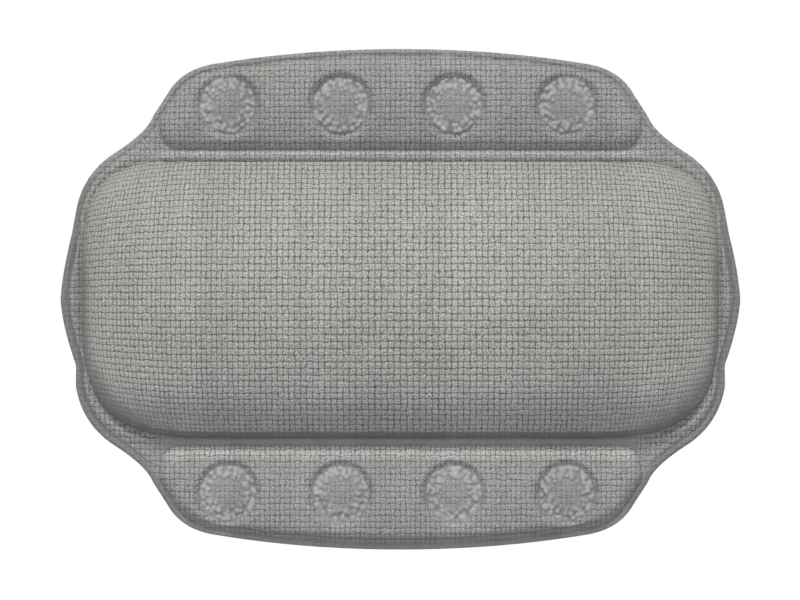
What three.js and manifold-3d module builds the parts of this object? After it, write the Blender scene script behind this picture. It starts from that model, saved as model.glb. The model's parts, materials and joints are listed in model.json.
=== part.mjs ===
// Bath pillow lying on its back with its face up. Millimetres, +Z up, +X to the right of the face and +Y
// towards its upper flange. The origin lies on the surface under the pillow, below the middle of its outline.
//
// A foamed mesh cover and a thin back sheet are welded round a filled chamber. A padded flange folds along
// the chamber's upper edge and another along its lower edge. Each flange holds a row of suction cups, whose
// heads are trapped between its two covers.

import * as THREE from 'three';
import { mergeVertices } from 'three/addons/utils/BufferGeometryUtils.js';
import Module from 'manifold-3d';

const wasm = await Module();
wasm.setup();

// Clearance between pieces that touch.
const TOUCH = 0.3;

// Outline of the whole pillow.
const OVERALL_WIDTH = 330;
const OVERALL_DEPTH = 243;
const FOLD_SPAN = 140; // between the two fold lines
const BAND_WIDTH = 6; // flat weld band along each fold line
const BAND_END_INSET = 26; // end of a fold line, in from the widest reach of the sides

// Scalloped sides of the chamber's border. Insets run in from the widest reach, drops from the fold line.
const SHOULDER_INSET = 10.3;
const SHOULDER_DROP = 10;
const LOBE_INSET = 7.4;
const LOBE_DROP = 28;
const NOTCH_HEIGHT = 32; // above and below the middle line
const UPPER_NOTCH_INSET = 5.6;
const LOWER_NOTCH_INSET = 7.6;
const BUMP_INSET = 0.8;
const BUMP_HEIGHT = 13;

// Outline of a flange. Insets run in from the end of the fold line, rises from the fold line, drops from the
// outer edge.
const NECK_INSET = 16.6;
const NECK_RISE = 10.5;
const FOOT_INSET = 19.5;
const FOOT_RISE = 18.5;
const SIDE_INSET = 26.5;
const SIDE_DROP = 21.5;
const CORNER_INSET = 32.5;
const CORNER_DROP = 10.5;
const EDGE_INSET = 47;
const EDGE_DROP = 7.5;
const EDGE_BOW_INSET = 91;

// Chamber that holds the filling.
const SIDE_BORDER = 10.3; // from the chamber's end to the widest reach of the sides
const CHAMBER_SLOPE = THREE.MathUtils.degToRad(55); // slope of its face at its edge
const UPPER_SQUARENESS = 4.2; // power of the superellipse at its upper corners
const LOWER_SQUARENESS = 3.3; // the same at its lower corners, which are rounder
const ROUND = 2; // the power of a circle
const BACK_NARROWING = 2; // its back, narrower than its face on each side
const BACK_SHOULDER = 17; // rounded edge of its back, from the weld in to the flat that it lies on

// Sheets and welds.
const FRONT_SHEET = 2.6;
const BACK_SHEET = 0.8;
const WELD = 1.4; // the front sheet where it is welded
const RIM = 3.5; // welded rim round the outline
const RIDGE = 1.6; // unwelded ridge of the side borders
const RIM_SWELL = 0.5;
const BACK_INSET = 2; // edge of the back sheets, in from the rim and the fold lines

// Padded flange.
const CROWN = 5.2; // padded face above the weld at the end of its rounded edge
const CROWN_RUN = 8; // width of that rounded edge
const CROWN_BOW = 0.8; // further rise towards the middle of the face
const CROWN_CORNER = 12; // rounded corner beside the fold line
const CROWN_FLARE = 1.5; // how far that corner bulges past the foot of the flange's side
const CROWN_SPINE_INSET = 42; // end of the line that the padding slopes up to, in from the fold line's end

// Suction cups and the weld marks that hold them.
const CUPS_PER_ROW = 4;
const CUP_ROW_DROP = 1.15; // from the middle of the padded face towards the fold line
const CUP_END_INSET = 57; // outermost cup, in from the end of the fold line
const CUP_ROW_SHIFT = -1.5; // both rows sit a little to the left
const CUP_HEIGHT = 11; // from the surface to the back sheet
const CUP_RADIUS = 16;
const CUP_LIP = 2.6; // flat rim that meets the surface
const CUP_EDGE = 0.8;
const CUP_WALL = 2;
const CUP_HOLLOW = 7;
const BELL_CURVE = [[0.38, 0.94], [0.71, 0.71], [0.93, 0.36]]; // inside, as shares of mouth and hollow
const NECK_RADIUS = 4;
const NECK_LENGTH = 1.4; // of the neck between bell and back sheet
const HEAD_RADIUS = 6.2;
const HEAD_THICKNESS = 1.2;
const MARK_RADIUS = 13.5; // outer edge of a weld mark
const MARK_WALL = 2; // slope between its floor and its edge
const MARK_FLOOR = 1; // its pressed ring above the weld
const MARK_STEP = 1.4; // slope between the pressed ring and the head's top
const HEAD_COVER = 1.5; // cover over the head

// Fineness of the facets.
const CURVE_STEPS = 5;
const BAND_STEPS = 12;
const CUP_FACETS = 16;
const CROWN_ANGLES = [0, 25, 50, 90];
const FACE_SHARES = [0, 0.3, 0.55, 0.76, 0.91, 1];
const LINING_SHARES = [1, 0.86, 0.6, 0];
const BACK_ANGLES = [90, 62, 35, 0];
const SPARE = 5; // how far a cutter runs past what it cuts
const OUTER_MITRE = 0.7; // least cosine that a corner's offset is divided by, outwards and inwards
const INNER_MITRE = 0.1;

// Heights.
const backTop = CUP_HEIGHT + BACK_SHEET;
const weldUnder = backTop + TOUCH;
const weldTop = weldUnder + WELD;
const foldHeight = weldUnder + WELD / 2;
const edgeRound = WELD / 2;

// Plan.
const foldLine = FOLD_SPAN / 2;
const sideReach = OVERALL_WIDTH / 2 - edgeRound;
const bandEnd = OVERALL_WIDTH / 2 - BAND_END_INSET;
const flangeDepth = OVERALL_DEPTH / 2 - foldLine - edgeRound;
const chamberHalfWidth = OVERALL_WIDTH / 2 - SIDE_BORDER;
const chamberHalfDepth = foldLine - BAND_WIDTH / 2;
const spineEnd = chamberHalfWidth - chamberHalfDepth;
const backFlat = chamberHalfDepth - BACK_NARROWING - BACK_SHOULDER;
const faceRadius = chamberHalfDepth / Math.sin(CHAMBER_SLOPE);
const faceCentre = weldTop - faceRadius * Math.cos(CHAMBER_SLOPE);
const crownSpineEnd = bandEnd - CROWN_SPINE_INSET;
const crownMiddle = (BAND_WIDTH / 2 + flangeDepth - RIM) / 2;
const cupRow = crownMiddle - CUP_ROW_DROP;
const footRise = Math.min(FOOT_RISE, flangeDepth - SIDE_DROP); // the neck's fillet ends on the straight side

const foamMesh = { color: 0x9b9c98, roughness: 0.85, metalness: 0 };
const backFilm = { color: 0xb4b6b3, roughness: 0.6, metalness: 0 };
const fibreFill = { color: 0xe9e8e2, roughness: 0.95, metalness: 0 };
const flangeFoam = { color: 0xd8d6cc, roughness: 0.95, metalness: 0 };
const clearCup = { color: 0xdde3e4, roughness: 0.2, metalness: 0 };

function namedMesh(name, geometry, finish) {
  const mesh = new THREE.Mesh(geometry, new THREE.MeshStandardMaterial(finish));
  mesh.name = name;
  return mesh;
}

// A geometry of positions alone, with shared vertices merged and collapsed triangles left out.
function closedGeometry(positions, triangles) {
  const loose = new THREE.BufferGeometry();
  loose.setAttribute('position', new THREE.Float32BufferAttribute(positions, 3));
  loose.setIndex(triangles);
  const merged = mergeVertices(loose);
  const index = merged.getIndex().array;
  const kept = [];
  for (let i = 0; i < index.length; i += 3) {
    const [a, b, c] = index.slice(i, i + 3);
    if (a !== b && b !== c && c !== a) kept.push(a, b, c);
  }
  merged.setIndex(kept);
  return merged;
}

// A solid through loops of equally many points, counterclockwise from above, from the top one out and down to
// the bottom one. Its two end loops are closed by flat caps, or are already collapsed to a line.
function loft(loops) {
  const count = loops[0].length;
  const triangles = [];
  for (let i = 0; i + 1 < loops.length; i += 1) {
    for (let k = 0; k < count; k += 1) {
      const next = (k + 1) % count;
      const a = i * count + k;
      const b = (i + 1) * count + k;
      const c = (i + 1) * count + next;
      const d = i * count + next;
      triangles.push(a, b, c, a, c, d);
    }
  }
  const isFlat = (loop) => THREE.ShapeUtils.area(loop) > 1;
  if (isFlat(loops[0])) {
    for (const [a, b, c] of THREE.ShapeUtils.triangulateShape(loops[0], [])) triangles.push(a, b, c);
  }
  if (isFlat(loops.at(-1))) {
    const base = (loops.length - 1) * count;
    for (const [a, b, c] of THREE.ShapeUtils.triangulateShape(loops.at(-1), [])) {
      triangles.push(base + c, base + b, base + a);
    }
  }
  return closedGeometry(loops.flat().flatMap((point) => point.toArray()), triangles);
}

function atHeight(loop, z) {
  return loop.map((point) => new THREE.Vector3(point.x, point.y, z));
}

// Each point moved out by a distance along the mean of its two edges' normals, less far at a sharp corner.
function offset(loop, distance) {
  const sharpest = distance > 0 ? OUTER_MITRE : INNER_MITRE;
  return loop.map((point, k) => {
    const before = loop.at(k - 1);
    const after = loop[(k + 1) % loop.length];
    const into = new THREE.Vector2(point.x - before.x, point.y - before.y).normalize();
    const out = new THREE.Vector2(after.x - point.x, after.y - point.y).normalize();
    const normal = new THREE.Vector2(into.y + out.y, -into.x - out.x).normalize();
    const mitre = distance / Math.max(sharpest, normal.x * into.y - normal.y * into.x);
    return new THREE.Vector2(point.x + normal.x * mitre, point.y + normal.y * mitre);
  });
}

function manifold(geometry) {
  const bare = new THREE.BufferGeometry();
  bare.setAttribute('position', geometry.getAttribute('position'));
  bare.setIndex(geometry.getIndex());
  const merged = mergeVertices(bare);
  return new wasm.Manifold(
    new wasm.Mesh({
      numProp: 3,
      vertProperties: new Float32Array(merged.getAttribute('position').array),
      triVerts: new Uint32Array(merged.getIndex().array),
    }),
  );
}

function geometryOf(solid) {
  const mesh = solid.getMesh();
  const geometry = new THREE.BufferGeometry();
  geometry.setAttribute('position', new THREE.BufferAttribute(mesh.vertProperties, 3));
  geometry.setIndex(new THREE.BufferAttribute(mesh.triVerts, 1));
  return geometry;
}

// A round solid about a vertical axis, from [radius, height] pairs that start and end on the axis.
function turned(pairs) {
  const profile = pairs.map(([radius, height]) => new THREE.Vector2(radius, height));
  const lathe = new THREE.LatheGeometry(profile, CUP_FACETS).rotateX(Math.PI / 2);
  lathe.deleteAttribute('normal');
  lathe.deleteAttribute('uv');
  return closedGeometry(lathe.getAttribute('position').array, Array.from(lathe.getIndex().array));
}

function upright(radius, bottom, top) {
  return manifold(turned([[0, bottom], [radius, bottom], [radius, top], [0, top]]));
}

// The chamber's border from the lower right end round to the lower left one, without its rounded edge.
function borderOutline() {
  const lobe = sideReach - LOBE_INSET;
  const shoulder = sideReach - SHOULDER_INSET;
  const bump = sideReach - BUMP_INSET;
  const side = new THREE.Path();
  side.moveTo(bandEnd, -foldLine);
  side.quadraticCurveTo(shoulder, SHOULDER_DROP - foldLine, lobe, LOBE_DROP - foldLine);
  side.lineTo(sideReach - LOWER_NOTCH_INSET, -NOTCH_HEIGHT);
  side.quadraticCurveTo(bump, -BUMP_HEIGHT, sideReach, 0);
  side.quadraticCurveTo(bump, BUMP_HEIGHT, sideReach - UPPER_NOTCH_INSET, NOTCH_HEIGHT);
  side.lineTo(lobe, foldLine - LOBE_DROP);
  side.quadraticCurveTo(shoulder, foldLine - SHOULDER_DROP, bandEnd, foldLine);
  const right = side.getPoints(CURVE_STEPS);
  const left = right.map((point) => new THREE.Vector2(-point.x, point.y)).reverse();
  const band = [];
  for (let i = 1; i < BAND_STEPS; i += 1) {
    band.push(bandEnd * (1 - (2 * i) / BAND_STEPS));
  }
  const upperBand = band.map((x) => new THREE.Vector2(x, foldLine));
  const lowerBand = band.map((x) => new THREE.Vector2(-x, -foldLine));
  return [...right, ...upperBand, ...left, ...lowerBand];
}

const border = borderOutline();

// The chamber's outline at a distance from its spine, as seen towards each point of the border. Its ends are
// round near the spine and grow squarer towards the edge.
function chamberLoop(reach) {
  return border.map((point) => {
    const spine = THREE.MathUtils.clamp(point.x, -spineEnd, spineEnd);
    const towards = new THREE.Vector2(point.x - spine, point.y).normalize();
    const squareness = point.y < 0 ? LOWER_SQUARENESS : UPPER_SQUARENESS;
    const power = ROUND + (squareness - ROUND) * (reach / chamberHalfDepth);
    const squared = Math.abs(towards.x) ** power + Math.abs(towards.y) ** power;
    const length = reach / squared ** (1 / power);
    return new THREE.Vector2(spine + towards.x * length, towards.y * length);
  });
}

// A loop of the chamber's arched face, sunk by a depth below the face.
function archLoop(reach, depth) {
  const height = faceCentre + Math.sqrt((faceRadius - depth) ** 2 - reach ** 2);
  return atHeight(chamberLoop(reach), height);
}

// Where the arch at a depth below the face comes down to a height.
function archReach(depth, height) {
  return Math.sqrt((faceRadius - depth) ** 2 - (height - faceCentre) ** 2);
}

// A loop of the chamber's back, raised by a thickness above the surface, at an angle round its shoulder.
function backLoop(thickness, degrees) {
  const angle = THREE.MathUtils.degToRad(degrees);
  const reach = backFlat + (BACK_SHOULDER - thickness) * Math.sin(angle);
  const height = thickness + CUP_HEIGHT * (1 - Math.cos(angle));
  return atHeight(chamberLoop(reach), height);
}

// The side border swells into a ridge and a rim, which fade out towards the fold lines and the weld bands.
function borderLoops() {
  const crease = chamberLoop(chamberHalfDepth);
  const loopAt = (place) =>
    border.map((edge, k) => {
      const room = Math.min(edge.distanceTo(crease[k]) - BAND_WIDTH / 2, foldLine - Math.abs(edge.y));
      const swell = THREE.MathUtils.smoothstep(room, 0, RIM / 2);
      const groove = Math.max(1 - RIM / edge.distanceTo(crease[k]), 1 / 2);
      const { share, height } = place(groove, swell);
      const point = crease[k].clone().lerp(edge, share);
      return new THREE.Vector3(point.x, point.y, weldTop + height);
    });
  return [
    loopAt((groove, swell) => ({ share: groove / 2, height: RIDGE * swell })),
    loopAt((groove) => ({ share: groove, height: 0 })),
    loopAt((groove, swell) => ({ share: (1 + groove) / 2, height: RIM_SWELL * swell })),
    loopAt(() => ({ share: 1, height: 0 })),
  ];
}

function pillowFrontCover() {
  const face = FACE_SHARES.map((share) => archLoop(share * chamberHalfDepth, 0));
  const liningReach = archReach(FRONT_SHEET, weldUnder);
  const lining = LINING_SHARES.map((share) => archLoop(share * liningReach, FRONT_SHEET));
  return loft([
    ...face,
    ...borderLoops(),
    atHeight(offset(border, edgeRound), foldHeight),
    atHeight(border, weldUnder),
    ...lining,
  ]);
}

function pillowFilling() {
  const depth = FRONT_SHEET + TOUCH;
  const edgeReach = Math.min(archReach(depth, weldTop), backFlat + BACK_SHOULDER - BACK_SHEET - TOUCH);
  const top = LINING_SHARES.map((share) => archLoop(share * edgeReach, depth)).reverse();
  const bottom = BACK_ANGLES.map((angle) => backLoop(BACK_SHEET + TOUCH, angle));
  return loft([...top, ...bottom, atHeight(chamberLoop(0), BACK_SHEET + TOUCH)]);
}

function pillowBackCover() {
  const edge = offset(border, -BACK_INSET);
  const inside = BACK_ANGLES.map((angle) => backLoop(BACK_SHEET, angle)).reverse();
  const outside = BACK_ANGLES.map((angle) => backLoop(0, angle));
  return loft([
    atHeight(chamberLoop(0), BACK_SHEET),
    ...inside,
    atHeight(edge, backTop),
    atHeight(edge, CUP_HEIGHT),
    ...outside,
    atHeight(chamberLoop(0), 0),
  ]);
}

// Half of a flange's outline, right of its middle, with the fold line at y = 0.
function flangeSide() {
  const side = new THREE.Path();
  side.moveTo(bandEnd, 0);
  side.quadraticCurveTo(bandEnd - NECK_INSET, NECK_RISE, bandEnd - FOOT_INSET, footRise);
  side.lineTo(bandEnd - SIDE_INSET, flangeDepth - SIDE_DROP);
  side.quadraticCurveTo(
    bandEnd - CORNER_INSET,
    flangeDepth - CORNER_DROP,
    bandEnd - EDGE_INSET,
    flangeDepth - EDGE_DROP,
  );
  side.quadraticCurveTo(bandEnd - EDGE_BOW_INSET, flangeDepth, 0, flangeDepth);
  return side.getPoints(CURVE_STEPS);
}

// The half given, which ends on the middle line, followed by its mirror image.
function bothHalves(right) {
  const left = right.map((point) => new THREE.Vector2(-point.x, point.y)).reverse();
  return [...right, ...left.slice(1)];
}

// The edge of a flange's padded face: a round corner beside the weld band, then the outline less its rim.
function crownOutline() {
  const outline = bothHalves(flangeSide());
  const inner = offset(outline, -RIM).slice(0, Math.ceil(outline.length / 2));
  const raised = inner.filter((point, k) => outline[k].y >= footRise);
  const foot = raised[0];
  const corner = new THREE.Path();
  corner.moveTo(foot.x - CROWN_CORNER, BAND_WIDTH / 2);
  corner.quadraticCurveTo(foot.x + CROWN_FLARE, BAND_WIDTH / 2, foot.x, foot.y);
  return bothHalves([...corner.getPoints(CURVE_STEPS), ...raised.slice(1)]);
}

// Each point of a padded face's outline moved in by a distance, towards the middle line of the flange.
function towardsMiddle(outline, distance) {
  return outline.map((point) => {
    const spine = THREE.MathUtils.clamp(point.x, -crownSpineEnd, crownSpineEnd);
    const inward = new THREE.Vector2(spine - point.x, crownMiddle - point.y).normalize();
    return new THREE.Vector2(point.x + inward.x * distance, point.y + inward.y * distance);
  });
}

// The padded form of a flange, sunk by a depth below its face, down to a flat bottom.
function crownForm(depth, bottom) {
  const outline = crownOutline();
  const rounded = CROWN_ANGLES.map((degrees) => {
    const angle = THREE.MathUtils.degToRad(degrees);
    const inset = depth + CROWN_RUN * (1 - Math.cos(angle));
    return atHeight(towardsMiddle(outline, inset), weldTop + (CROWN - depth) * Math.sin(angle));
  });
  const bowed = rounded.at(-1).map((point) => {
    const spine = THREE.MathUtils.clamp(point.x, -crownSpineEnd, crownSpineEnd);
    return new THREE.Vector3((point.x + spine) / 2, (point.y + crownMiddle) / 2, point.z + CROWN_BOW);
  });
  return manifold(loft([bowed, ...rounded.reverse(), atHeight(towardsMiddle(outline, depth), bottom)]));
}

function cupPlaces(shift) {
  const outermost = bandEnd - CUP_END_INSET;
  const pitch = (2 * outermost) / (CUPS_PER_ROW - 1);
  const places = [];
  for (let i = 0; i < CUPS_PER_ROW; i += 1) places.push(i * pitch - outermost + shift);
  return places;
}

// What a weld mark presses out of a flange's face: a ring round the raised disc over the cup's head.
function markForm() {
  const floor = weldTop + MARK_FLOOR;
  const headTop = backTop + TOUCH + HEAD_THICKNESS + TOUCH + HEAD_COVER;
  const above = weldTop + CROWN + CROWN_BOW;
  return manifold(
    turned([
      [0, headTop],
      [HEAD_RADIUS, headTop],
      [HEAD_RADIUS + MARK_STEP, floor],
      [MARK_RADIUS - MARK_WALL, floor],
      [MARK_RADIUS, above],
      [MARK_RADIUS, above + SPARE],
      [0, above + SPARE],
    ]),
  );
}

function flangeFrontCover(places) {
  const outline = bothHalves(flangeSide());
  const sheet = loft([
    atHeight(outline, weldTop),
    atHeight(offset(outline, edgeRound), foldHeight),
    atHeight(outline, weldUnder),
  ]);
  const seatRadius = edgeRound + TOUCH;
  const foldSeat = new THREE.CylinderGeometry(seatRadius, seatRadius, OVERALL_WIDTH, CUP_FACETS);
  foldSeat.rotateZ(Math.PI / 2).translate(0, 0, foldHeight);
  let cover = manifold(sheet).add(crownForm(0, foldHeight)).subtract(manifold(foldSeat));
  let hollow = crownForm(FRONT_SHEET, weldUnder - SPARE);
  for (const x of places) {
    const pressed = upright(MARK_RADIUS, weldUnder - 2 * SPARE, weldTop + CROWN);
    hollow = hollow.subtract(pressed.translate(x, cupRow, 0));
  }
  cover = cover.subtract(hollow);
  const pocketTop = weldUnder + HEAD_THICKNESS + TOUCH;
  for (const x of places) {
    const pocket = upright(HEAD_RADIUS + TOUCH, weldUnder - SPARE, pocketTop);
    cover = cover.subtract(markForm().translate(x, cupRow, 0)).subtract(pocket.translate(x, cupRow, 0));
  }
  return geometryOf(cover);
}

function flangePadding(places) {
  let padding = crownForm(FRONT_SHEET + TOUCH, weldUnder);
  for (const x of places) {
    const well = upright(MARK_RADIUS + TOUCH, weldUnder - SPARE, weldTop + CROWN + SPARE);
    padding = padding.subtract(well.translate(x, cupRow, 0));
  }
  return geometryOf(padding);
}

function flangeBackCover(places) {
  const outline = offset(bothHalves(flangeSide()), -BACK_INSET);
  let sheet = manifold(loft([atHeight(outline, backTop), atHeight(outline, CUP_HEIGHT)]));
  for (const x of places) {
    const neckHole = upright(NECK_RADIUS + TOUCH, CUP_HEIGHT - SPARE, backTop + SPARE);
    sheet = sheet.subtract(neckHole.translate(x, cupRow, 0));
  }
  return geometryOf(sheet);
}

function suctionCup() {
  const mouth = CUP_RADIUS - CUP_LIP;
  const headUnder = backTop + TOUCH;
  const headTop = headUnder + HEAD_THICKNESS;
  const inside = BELL_CURVE.map(([out, up]) => new THREE.Vector2(mouth * out, CUP_HOLLOW * up));
  const outside = inside.slice(1).reverse().map((point) => {
    return point.clone().addScaledVector(point.clone().normalize(), CUP_WALL);
  });
  return turned([
    [0, CUP_HOLLOW],
    ...inside.map((point) => point.toArray()),
    [mouth, 0],
    [CUP_RADIUS, 0],
    [CUP_RADIUS, CUP_EDGE],
    ...outside.map((point) => point.toArray()),
    [NECK_RADIUS, CUP_HEIGHT - NECK_LENGTH],
    [NECK_RADIUS, headUnder],
    [HEAD_RADIUS, headUnder],
    [HEAD_RADIUS, headTop],
    [0, headTop],
  ]);
}

function flange(side, places) {
  const group = new THREE.Group();
  group.add(namedMesh(`${side}_flange_front_cover`, flangeFrontCover(places), foamMesh));
  group.add(namedMesh(`${side}_flange_padding`, flangePadding(places), flangeFoam));
  group.add(namedMesh(`${side}_flange_back_cover`, flangeBackCover(places), backFilm));
  places.forEach((x, i) => {
    const cup = namedMesh(`suction_cup_${side}_${i + 1}`, suctionCup(), clearCup);
    cup.position.set(x, cupRow, 0);
    group.add(cup);
  });
  return group;
}

const pillow = new THREE.Group();
pillow.add(namedMesh('pillow_front_cover', pillowFrontCover(), foamMesh));
pillow.add(namedMesh('pillow_filling', pillowFilling(), fibreFill));
pillow.add(namedMesh('pillow_back_cover', pillowBackCover(), backFilm));

const upperFlange = flange('upper', cupPlaces(CUP_ROW_SHIFT));
upperFlange.position.y = foldLine;
pillow.add(upperFlange);

// The lower flange is the upper one turned half round, so in its own frame its cup row shifts and counts the
// other way.
const lowerFlange = flange('lower', cupPlaces(-CUP_ROW_SHIFT).reverse());
lowerFlange.position.y = -foldLine;
lowerFlange.rotation.z = Math.PI;
pillow.add(lowerFlange);

export default pillow;
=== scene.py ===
"""Bath pillow of foamed mesh: woven covers, back sheets, clear suction cups and fillings round its frame."""

import json
import math

import bmesh
import bpy
import numpy as np
from mathutils import Matrix, Vector, kdtree
from mathutils.bvhtree import BVHTree


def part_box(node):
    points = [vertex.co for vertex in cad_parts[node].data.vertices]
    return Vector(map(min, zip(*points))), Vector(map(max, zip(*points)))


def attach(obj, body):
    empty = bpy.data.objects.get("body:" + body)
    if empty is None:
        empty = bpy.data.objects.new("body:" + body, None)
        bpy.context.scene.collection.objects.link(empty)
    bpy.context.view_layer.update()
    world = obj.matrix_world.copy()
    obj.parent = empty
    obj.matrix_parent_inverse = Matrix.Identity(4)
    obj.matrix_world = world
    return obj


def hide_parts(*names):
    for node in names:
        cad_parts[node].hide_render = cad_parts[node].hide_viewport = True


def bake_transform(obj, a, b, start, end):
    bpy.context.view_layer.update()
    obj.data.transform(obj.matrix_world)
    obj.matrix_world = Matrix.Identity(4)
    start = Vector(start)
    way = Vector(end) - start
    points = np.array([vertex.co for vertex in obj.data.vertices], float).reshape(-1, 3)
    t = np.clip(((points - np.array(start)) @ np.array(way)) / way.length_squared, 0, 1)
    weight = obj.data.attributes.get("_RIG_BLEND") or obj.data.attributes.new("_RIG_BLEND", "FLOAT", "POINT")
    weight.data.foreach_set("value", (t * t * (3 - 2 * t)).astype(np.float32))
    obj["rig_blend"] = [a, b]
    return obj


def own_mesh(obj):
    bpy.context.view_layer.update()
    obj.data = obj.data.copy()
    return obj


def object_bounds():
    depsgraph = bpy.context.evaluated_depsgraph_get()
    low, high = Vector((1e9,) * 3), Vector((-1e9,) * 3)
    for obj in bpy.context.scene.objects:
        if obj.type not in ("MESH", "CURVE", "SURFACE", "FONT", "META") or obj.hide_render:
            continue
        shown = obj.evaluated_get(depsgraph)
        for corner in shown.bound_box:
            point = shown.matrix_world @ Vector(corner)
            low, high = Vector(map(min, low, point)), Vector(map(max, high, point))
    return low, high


bl_info = {
    "name": "Bath pillow",
    "version": (1, 0, 0),
    "blender": (4, 5, 0),
    "location": "View3D > Sidebar > Bath pillow",
    "description": "Builds the covers, sheets, cups and fillings of a bath pillow round its frame",
    "category": "Object",
}

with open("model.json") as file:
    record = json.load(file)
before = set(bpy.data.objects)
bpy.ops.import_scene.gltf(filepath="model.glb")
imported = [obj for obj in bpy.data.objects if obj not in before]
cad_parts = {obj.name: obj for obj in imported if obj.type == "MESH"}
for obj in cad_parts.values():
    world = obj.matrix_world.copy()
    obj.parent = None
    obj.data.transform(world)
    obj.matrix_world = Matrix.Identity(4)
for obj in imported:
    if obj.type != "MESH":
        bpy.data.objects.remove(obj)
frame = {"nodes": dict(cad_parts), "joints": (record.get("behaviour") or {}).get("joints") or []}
CAD_LOW, CAD_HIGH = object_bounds()
MM = 0.001


def mm(*values):
    """Lengths given in millimetres."""
    return tuple(value * MM for value in values)


# Heights and places that the frame gives.
JOINTS = {joint["name"]: joint for joint in frame["joints"]}
FOLD_LINE = JOINTS["upper_flange_fold"]["pos_m"][1]
BACK_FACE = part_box("upper_flange_back_cover")[0].z
BACK_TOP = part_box("upper_flange_back_cover")[1].z
WELD_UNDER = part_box("upper_flange_front_cover")[0].z
DOME_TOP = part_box("pillow_front_cover")[1].z
HALF_WIDTH = (CAD_HIGH.x - CAD_LOW.x) / 2
HALF_HEIGHT = (CAD_HIGH.y - CAD_LOW.y) / 2
SIDES = ("upper", "lower")
SIGNS = (1, -1)
CUPS_PER_ROW = 4

# Sheets and welds.
WELD = 1.4 * MM
WELD_TOP = WELD_UNDER + WELD
EDGE_ROUND = WELD / 2
RIM, BAND, BACK_INSET = mm(2.7, 6, 2)

# Scalloped sides of the chamber's border. Insets run in from the widest reach, drops from the fold line.
SIDE_REACH = HALF_WIDTH - EDGE_ROUND
BAND_END = HALF_WIDTH - 26 * MM
SHOULDER_INSET, SHOULDER_DROP = mm(10.3, 10)
LOBE_INSET, LOBE_DROP = mm(7.4, 28)
NOTCH_HEIGHT, UPPER_NOTCH_INSET, LOWER_NOTCH_INSET = mm(32, 5.6, 7.6)
BUMP_INSET, BUMP_HEIGHT = mm(0.8, 13)
CORNER_SOFT = 2.5 * MM

# Outline of a flange. Insets run in from the end of the fold line, rises from it, drops from the outer edge.
FLANGE_DEPTH = HALF_HEIGHT - FOLD_LINE - EDGE_ROUND
NECK_INSET, NECK_RISE = mm(16.6, 10.5)
FOOT_INSET, FOOT_RISE = mm(19.5, 18.5)
SIDE_INSET, SIDE_DROP = mm(26.5, 21.5)
CORNER_INSET, CORNER_DROP = mm(32.5, 10.5)
EDGE_INSET, EDGE_DROP = mm(47, 7.5)
EDGE_BOW_INSET = 91 * MM

# Padded face of a flange: its lower corners, the way to its middle, and how far the lower one starts nearer.
CROWN_CORNER, CROWN_FLARE, CROWN_MIDDLE = mm(12, 1.5, 22)
CROWN_ROUND = 0.6
LOW_START, LOW_START_RUN = mm(2.2, 14)

# Chamber: a spine with an arched face round it, whose ends grow squarer towards the crease at its edge.
CREASE = FOLD_LINE - BAND / 2
CHAMBER_END = HALF_WIDTH - 10.3 * MM
SPINE_END = CHAMBER_END - CREASE
UPPER_SQUARENESS, LOWER_SQUARENESS = 4.2, 3.3
ROUND = 2.0
RISE = DOME_TOP - WELD_TOP
ARCH_RADIUS = (CREASE**2 + RISE**2) / (2 * RISE)
ARCH_CENTRE = DOME_TOP - ARCH_RADIUS
LINING = 1.5 * MM
LINING_LEVELS = (1.0, 0.96, 0.85, 0.65, 0.4, 0.15, 0.0)

# Weave, counted in cells from the middle of a cover, and how unevenly it lies.
DOME_CELLS = (65, 25)
DOME_ROW_PITCH = 3.41 * MM
MIDDLE_PITCH, END_PITCH, PITCH_FADE = mm(3.08, 2.47, 110)
GATHER = 0.28
DOME_SAMPLES, FLAT_SAMPLES, BALLOON_SAMPLES = 4, 5, 0.5
LATTICE = (150, 110)
WANDER, ROW_WANDER = 0.055, 0.8
FULLNESS = (0.7, 1.15)
DOME_SEED, LUMP_SEED, PUCKER_SEED, BORDER_SEED, FLANGE_SEEDS = 5, 8, 3, 11, (21, 31)
POLYLINE_STEP = 0.1 * MM
ON_EDGE = 0.2 * MM

# Crease round the chamber: its depth as a share of the groove, the painted shade in it, and its widths.
CREASE_SHALLOW, CREASE_DEEPER = 0.12, 0.53
CREASE_BELOW, CREASE_ENDS = mm(40, -40), mm(135, 105)
CREASE_PAINTED_SHADE, LOW_CREASE_PAINTED_SHADE, PAINTED_SHADE_BELOW = 0.75, 0.6, mm(50, -60)
UPPER_CREASE, LOWER_CREASE, DOME_CREASE, CREASE_SHADE = mm(1.2, 0.8, 1.3, 1.2)

# Weld line inside the rim: strong at the lower sides, faint along the flanges, set in at the lowest edge.
RIM_FAINT, RIM_FAINT_LOW, RIM_BOTTOM = 0.3, 0.5, 0.85
RIM_UPPER, RIM_LOWER, BOTTOM_EDGE = mm(48, 22), mm(-94, -74), mm(-98, -112)
LOW_RIM, RIM_LINE, FOOT_LINE = mm(1.9, 0.9, 0.9)
BOTTOM_LESS, FOOT_DEPTH, FOLD_LESS = 0.6, 0.5, 0.85

# How far the weave is pressed on the rim, the painted shade in the rim's weld line and at a face's foot, and
# what that takes off a nub.
RIM_TONE, UPPER_RIM_TONE, BOTTOM_TONE, RIM_INNER = 0.7, 0.5, 0.42, 0.7
RIM_LINE_PAINTED_SHADE, FOOT_PAINTED_SHADE, PRESSED_NUB = 0.95, 0.42, 0.6

# Swell of the weld bands above and below the chamber.
UPPER_BAND, LOWER_BAND, BAND_CREST = mm(1.6, 0.4, 3.4)
BAND_ENDS = mm(124, 110)
BAND_LEAN = 0.75

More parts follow.
